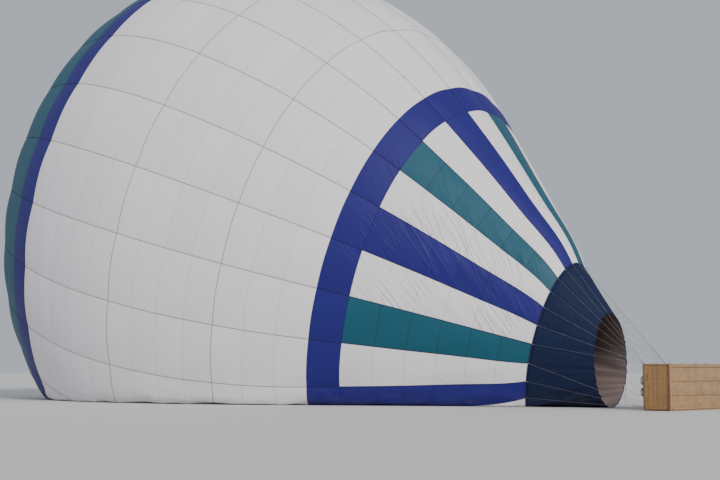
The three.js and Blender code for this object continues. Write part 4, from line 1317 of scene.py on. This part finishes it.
class BasketOperator(bpy.types.Operator):
    """Makes the basket: floor, runners, wicker walls and partitions, rim and handles"""

    bl_idname = "balloon.basket"
    bl_label = "Basket"

    def execute(self, context):
        self.base()
        self.walls()
        self.padding()
        self.trim()
        return {"FINISHED"}

    @staticmethod
    def base():
        x, y = HALF_LENGTH + FLOOR_OVERHANG, HALF_WIDTH + FLOOR_OVERHANG
        Shape().box((-x, -y, FLOOR_LOW), (x, y, FLOOR_TOP), 0.006).piece(
            "basket_floor_board", "floor_wood", "oiled_ash", "basket_floor")
        bolts = Shape()
        bolt = ((0, 0), (0.012, 0), (0.012, 0.003), (0.009, 0.006), (0, 0.006))
        x, half = RUNNER_LENGTH / 2, RUNNER_WIDTH / 2
        for number in range(RUNNERS):
            y = number * (BASKET_WIDTH - 2 * RUNNER_WIDTH) / (RUNNERS - 1)
            y = -HALF_WIDTH + RUNNER_WIDTH + y
            Shape().box((-x, y - half, 0), (x, y + half, RUNNER_HEIGHT), 0.009).piece(
                f"runner_{number + 1}", "floor_wood", "oiled_ash", f"basket_runner_{number + 1}")
            for k in range(RUNNER_BOLTS):
                along = (k - (RUNNER_BOLTS - 1) / 2) * RUNNER_LENGTH / RUNNER_BOLTS
                bolts.lathe(bolt, 10, (along, y, -0.004))
        bolts.piece("runner_bolts", "frame_steel", "ring_steel")

    @staticmethod
    def walls():
        high, side = BASKET_TOP - FLOOR_TOP - GAP, PARTITION_TOP - FLOOR_TOP - GAP
        long, short = BASKET_LENGTH - 3 * PANEL_PLAY, BASKET_WIDTH - 2 * (WALL + PANEL_PLAY)
        start = PARTITION_X + WALL / 2 + PANEL_PLAY
        run = HALF_LENGTH - WALL - start - PANEL_PLAY
        # columns: name, length, height, start along and across the basket, turned, node
        panels = [
            ("ground", long, high, -long / 2, -WALL_Y, False, "basket_wall_ground"),
            ("sky", long, high, -long / 2, WALL_Y, False, "basket_wall_sky"),
            ("left", short, high, -WALL_X, -short / 2, True, "basket_wall_left"),
            ("right", short, high, WALL_X, -short / 2, True, "basket_wall_right"),
        ]
        for name, sign, begin in (("left", -1, -start - run), ("right", 1, start)):
            pilot, passenger = f"pilot_partition_{name}", f"passenger_partition_{name}"
            panels += [
                (f"pilot_{name}", short, side, sign * PARTITION_X, -short / 2, True, pilot),
                (f"long_{name}", run, side, begin, 0, False, passenger),
                (f"cross_{name}", short, side, sign * CROSS_X, -short / 2, True, passenger),
            ]
        for panel in panels:
            wicker_panel(*panel)

    @staticmethod
    def padding():
        path = dense(rounded_rectangle(WALL_X, WALL_Y, RIM_Z, RIM_BEND), 0.05)
        rim = Shape().sweep(path, 0, 14, closed=True, flat=(RIM_HEIGHT / 2, RIM_WIDTH / 2)).piece(
            "padded_rim", "rim_leather", "stitched_hide", "basket_rim", degrees=60)
        rolls, top = Shape(), PARTITION_TOP - ROLL_SUNK
        reach, end = HALF_WIDTH - WALL - PANEL_PLAY, HALF_LENGTH - WALL - PANEL_PLAY
        for sign in (-1, 1):
            for x in (PARTITION_X, CROSS_X):
                rolls.sweep([(sign * x, -reach, top), (sign * x, reach, top)], ROLL_RADIUS, 12)
            start = PARTITION_X + 0.03
            rolls.sweep([(sign * start, 0, top), (sign * end, 0, top)], ROLL_RADIUS, 12)
        rolls = rolls.piece("partition_rolls", "rim_leather", "stitched_hide")

    @staticmethod
    def trim():
        def outline(half_x, half_y, z, radius, stand):
            return dense(rounded_rectangle(half_x + stand, half_y + stand, z, radius), 0.1)
        skirt = outline(HALF_LENGTH, HALF_WIDTH, SKIRT_Z, WALL_BEND, SKIRT_THICKNESS / 2)
        Shape().sweep(skirt, 0, 8, closed=True, flat=(SKIRT_HALF_HEIGHT, SKIRT_THICKNESS)).piece(
            "hide_skirt", "rim_leather", "stitched_hide", degrees=50)
        stand = RIM_WIDTH / 2 + 0.0005
        lines = [outline(WALL_X, WALL_Y, RIM_Z + lift, RIM_BEND, sign * stand)
                 for lift in (0.012, -0.018) for sign in (-1, 1)]
        lines += [outline(HALF_LENGTH, HALF_WIDTH, SKIRT_Z + lift, WALL_BEND, 0.0065)
                  for lift in (0.04, -0.04)]
        mesh = grow("Stitches", "pale_webbing", lines, closed=True, place=GONDOLA)
        add_piece("rim_stitches", mesh, "rim_leather")
        loops = [[(x + along, HALF_WIDTH + out, z) for along, out, z in HANDLE]
                 for x in HANDLES_LONG]
        loops += [[(sign * (HALF_LENGTH + out), y + along, z) for along, out, z in HANDLE]
                  for sign in (-1, 1) for y in HANDLES_SHORT]
        mesh = grow("Tubes", "hemp_rope", loops, place=GONDOLA, Radius=ROPE_RADIUS, Sides=8)
        add_piece("rope_handles", mesh, "load_tape")


class CylindersOperator(bpy.types.Operator):
    """Makes the fuel cylinders and the straps that hold them"""

    bl_idname = "balloon.cylinders"
    bl_label = "Fuel Cylinders"

    def execute(self, context):
        r, h = CYLINDER_RADIUS, CYLINDER_HEIGHT
        foot = [(0, 0.012), (0.09, 0.012), (0.135, 0.004), (0.144, 0), (0.146, 0.03), (0.15, 0.034)]
        foot += [(r - 0.002 - 0.03 * (1 - math.sin(a)), 0.07 - 0.036 * math.cos(a))
                 for a in np.linspace(0.1, math.pi / 2, 6)]
        bead = [(r, 0.1), (r, 0.3), (r + 0.0015, 0.303), (r + 0.0015, 0.312), (r, 0.315), (r, h - 0.1)]
        dome = [(r * math.cos(a) ** 0.7, h - 0.075 + 0.075 * math.sin(a))
                for a in np.linspace(0.05, 1.15, 9)]
        dome += [(0.03, h + 0.004), (0.03, h + 0.02), (0, h + 0.02)]
        collar = [(0.104, h - 0.03), (0.108, h - 0.03), (0.108, h + 0.07), (0.104, h + 0.07),
                  (0.104, h - 0.03)]
        stem = ((0, 0.02), (0.02, 0.02), (0.02, 0.05), (0.012, 0.055), (0, 0.055))
        around = r + 0.003
        for number, (sx, sy) in enumerate(CORNERS):
            spot = (sx * CYLINDER_X, sy * CYLINDER_Y, FLOOR_TOP + GAP)
            place = GONDOLA @ Matrix.Translation(spot)
            name = f"fuel_cylinder_{number + 1}"
            Shape().lathe(foot + bead + dome, 48).lathe(collar, 32).piece(
                f"{name}_tank", "cylinder_metal", "satin_aluminium", name, place=place, degrees=40)
            valve = Shape().lathe(stem, 12, (0, 0, h))
            valve.sweep([(-0.05, 0, h + 0.038), (0.05, 0, h + 0.038)], 0.009, 10).piece(
                f"{name}_valve", "cylinder_metal", "valve_brass", place=place)
            bands = Shape()
            for z in STRAP_HEIGHTS:
                section = STRAP_HALF_WIDTH, STRAP_THICKNESS
                bands.sweep(circle(around, 48, z), 0, 8, closed=True, flat=section)
                bands.box((-0.03, -sy * around - 0.006, z - 0.02),
                          (0.03, -sy * around + 0.006, z + 0.02), 0.003)
            bands.piece(f"{name}_straps", "load_tape", "dark_webbing", place=place, degrees=50)
        return {"FINISHED"}


# Load frame and burner

class FrameOperator(bpy.types.Operator):
    """Makes the load frame, its uprights and the gimbal ring"""

    bl_idname = "balloon.frame"
    bl_label = "Load Frame"

    def execute(self, context):
        z = FRAME_HEIGHT
        square = rounded_rectangle(FRAME_HALF, FRAME_HALF, z, FRAME_BEND, 8)
        tubes = Shape().sweep(square, FRAME_TUBE, 24, closed=True)
        for side in (-1, 1):
            start, end = side * (FRAME_HALF - FRAME_TUBE / 2), side * (RING_HALF_LENGTH + PIN_LENGTH)
            tubes.sweep([(start, 0, z), (end, 0, z)], SLEEVE_RADIUS, 24)
            bead = end + side * 0.008
            tubes.sweep([(bead - side * 0.014, 0, z), (bead, 0, z)], SLEEVE_RADIUS + 0.004, 24)
        tubes.piece("load_frame_tubes", "frame_steel", "frame_tube", "load_frame")
        self.uprights()
        oblong = rounded_rectangle(RING_HALF_LENGTH, RING_HALF_WIDTH, z, RING_BEND, 8)
        ring = Shape().sweep(oblong, RING_TUBE, 20, closed=True)
        for side in (-1, 1):
            start, end = side * RING_HALF_LENGTH, side * (RING_HALF_LENGTH + PIN_LENGTH - GAP)
            ring.sweep([(start, 0, z), (end, 0, z)], PIN_RADIUS, 16)
            start, end = side * RING_HALF_WIDTH, side * (RING_HALF_WIDTH - SOCKET_LENGTH)
            ring.sweep([(0, start, z), (0, end, z)], SLEEVE_RADIUS, 20)
        ring.piece("gimbal_ring_tubes", "frame_steel", "frame_tube", "gimbal_ring", body="gimbal")
        return {"FINISHED"}

    @staticmethod
    def uprights():
        foot = BASKET_TOP + GAP + RIM_HEIGHT + GAP + UPRIGHT_PLAY
        head = FRAME_HEIGHT - FRAME_TUBE - GAP - UPRIGHT_PLAY
        for number, (sx, sy) in enumerate(CORNERS):
            rods, caps = Shape(), Shape()
            for way in (-1, 1):
                low = Vector((sx * FRAME_HALF + way * UPRIGHT_FOOT, sy * WALL_Y, foot))
                high = Vector((sx * FRAME_HALF + way * UPRIGHT_HEAD, sy * FRAME_HALF, head))
                cover = [low.lerp(high, share) for share in (0.07, 0.08, 0.5, 0.92, 0.93)]
                rods.sweep(cover, COVER_RADIUS, 16)
                caps.sweep([low, low.lerp(high, 0.075)], CAP_RADIUS, 14)
                caps.sweep([low.lerp(high, 0.925), high], CAP_RADIUS, 14)
            name = f"uprights_{number + 1}"
            rods.piece(f"{name}_covers", "pole_plastic", "padded_nylon", name)
            caps.piece(f"{name}_ends", "frame_steel", "frame_tube")


class BurnerOperator(bpy.types.Operator):
    """Makes the four burner units and the beams that carry them"""

    bl_idname = "balloon.burner"
    bl_label = "Burner"

    def execute(self, context):
        z, half = FRAME_HEIGHT, BEAM / 2
        reach, end = RING_HALF_WIDTH - SOCKET_LENGTH - GAP, BURNER_X + BEAM_BEYOND
        beams = Shape().sweep([(0, -reach, z), (0, reach, z)], PIN_RADIUS, 16)
        for y in (-BURNER_Y, BURNER_Y):
            beams.box((-end, y - half, z - half), (end, y + half, z + half), 0.004)
        beams.box((-half, -BURNER_Y, z - half), (half, BURNER_Y, z + half), 0.004)
        beams.piece("burner_beam_tubes", "frame_steel", "frame_tube", "burner_beams", body="burner")
        for number, (sx, sy) in enumerate(CORNERS):
            spot = (sx * BURNER_X, sy * BURNER_Y, z + half + GAP + COIL_BASE)
            self.unit(f"burner_{number + 1}", GONDOLA @ Matrix.Translation(spot), sy)
        return {"FINISHED"}

    @staticmethod
    def unit(name, place, sy):
        """One burner, with its coils standing on the origin of its place and its block below."""
        where = {"body": "burner", "place": place}
        mesh = grow("Coils", "heated_steel", place=place @ Matrix.Translation((0, 0, 0.02)),
                    Turns=float(sizes().coil_turns), Outer=COIL_RADIUS - 0.009,
                    Inner=COIL_BORE + 0.011, Height=COIL_HEIGHT - 0.05, Tube=COIL_TUBE)
        add_piece(f"{name}_coils", mesh, "coil_steel", None, name, body="burner")
        pan = ((0, 0), (0.17, 0), (COIL_RADIUS, 0.004), (COIL_RADIUS, 0.02), (0.172, 0.022),
               (0.05, 0.014), (0.05, 0.05), (0.04, 0.06), (0, 0.06))
        jet = ((0, 0), (0.009, 0), (0.009, 0.028), (0.004, 0.034), (0, 0.034))
        can = Shape().lathe(pan, 36, (0, 0, -0.006))
        for point in circle(JET_CIRCLE, 12):
            can.lathe(jet, 10, point)
        for x, y, _ in circle(POST_CIRCLE, 4, first=0.5):
            can.sweep([(x, y, 0.012), (x, y, COIL_HEIGHT)], 0.005, 8, up=(1, 0, 0))
        hoop = circle(POST_CIRCLE, 40, COIL_HEIGHT - 0.004)
        can.sweep(hoop, 0, 8, closed=True, flat=(0.004, 0.018))
        can.piece(f"{name}_can", "coil_steel", "heated_steel", **where)
        Shape().box(
            (-BLOCK_HALF, -BLOCK_HALF, -COIL_BASE), (BLOCK_HALF, BLOCK_HALF, -0.007), 0.008
        ).piece(f"{name}_block", "frame_steel", "valve_block", **where)
        valve = ((0, 0), (0.016, 0), (0.016, 0.03), (0.01, 0.036), (0, 0.036))
        levers = Shape()
        for x in (-0.035, 0.035):
            levers.lathe(valve, 14, (x, 0, -COIL_BASE - 0.036))
        y, z = 0.045 * sy, -COIL_BASE - 0.03
        levers.sweep([(-0.05, y, z), (0.05, y, z)], LEVER_RADIUS, 10).piece(
            f"{name}_valves", "frame_steel", "valve_brass", **where)


# Stage

class StageOperator(bpy.types.Operator):
    """Makes the floor, the light and the camera"""

    bl_idname = "balloon.stage"
    bl_label = "Studio"

    def execute(self, context):
        mesh = bpy.data.meshes.new("studio_floor")
        corners = [(FLOOR_REACH * x, FLOOR_REACH * y, FLOOR_LEVEL) for x, y in CORNERS]
        mesh.from_pydata(corners, [], [(0, 1, 3, 2)])
        mesh.materials.append(look("pale_floor"))
        self.placed("studio_floor", mesh)
        world = bpy.data.worlds.new("studio")
        world.use_nodes = True
        sky = world.node_tree.nodes["Background"].inputs
        sky["Color"].default_value = SKY_COLOUR
        sky["Strength"].default_value = SKY_STRENGTH
        context.scene.world = world
        for name, strength, angle, way, tint in LAMPS:
            lamp = bpy.data.lights.new(name, "SUN")
            lamp.energy, lamp.angle, lamp.color = strength, math.radians(angle), tint
            self.placed(name, lamp, way=way)
        camera = bpy.data.cameras.new("camera")
        camera.sensor_width, camera.lens, camera.clip_end = SENSOR, LENS, SIGHT
        x, y = (part * math.cos(CAMERA_PITCH) for part in CAMERA_HEADING)
        context.scene.camera = self.placed(
            "camera", camera, CAMERA_SPOT, (x, y, math.sin(CAMERA_PITCH)))
        return {"FINISHED"}

    @staticmethod
    def placed(name, data, spot=(0, 0, 0), way=None):
        """Puts something on the stage, looking or shining along a way where it has one."""
        holder = bpy.data.objects.new(name, data)
        holder.location = spot
        if way:
            holder.rotation_mode = "QUATERNION"
            holder.rotation_quaternion = Vector(way).to_track_quat("-Z", "Y")
        bpy.context.scene.collection.objects.link(holder)
        return holder


class BalloonPanel(bpy.types.Panel):
    """Lists the steps that build the balloon, with its sizes and colours"""

    bl_idname = "VIEW3D_PT_balloon"
    bl_label = "Balloon"
    bl_space_type = "VIEW_3D"
    bl_region_type = "UI"
    bl_category = "Balloon"

    def draw(self, context):
        for step in STEPS:
            self.layout.operator(step.bl_idname)
        for group in (context.scene.balloon_sizes, context.scene.balloon_colours):
            for name in group.__annotations__:
                self.layout.prop(group, name)


STEPS = (
    StageOperator, EnvelopeOperator, TapesOperator, ValveOperator, MouthOperator, WiresOperator,
    BasketOperator, CylindersOperator, FrameOperator, BurnerOperator,
)
CLASSES = (BalloonSizes, BalloonColours, *STEPS, BalloonPanel)


def register():
    for made in CLASSES:
        bpy.utils.register_class(made)
    bpy.types.Scene.balloon_sizes = bpy.props.PointerProperty(type=BalloonSizes)
    bpy.types.Scene.balloon_colours = bpy.props.PointerProperty(type=BalloonColours)


def unregister():
    del bpy.types.Scene.balloon_sizes
    del bpy.types.Scene.balloon_colours
    for made in reversed(CLASSES):
        bpy.utils.unregister_class(made)


def main():
    register()
    for step in STEPS:
        group, name = step.bl_idname.split(".")
        if getattr(getattr(bpy.ops, group), name)() != {"FINISHED"}:
            raise RuntimeError(f"{step.bl_label} did not finish")


if __name__ == "__main__":
    main()
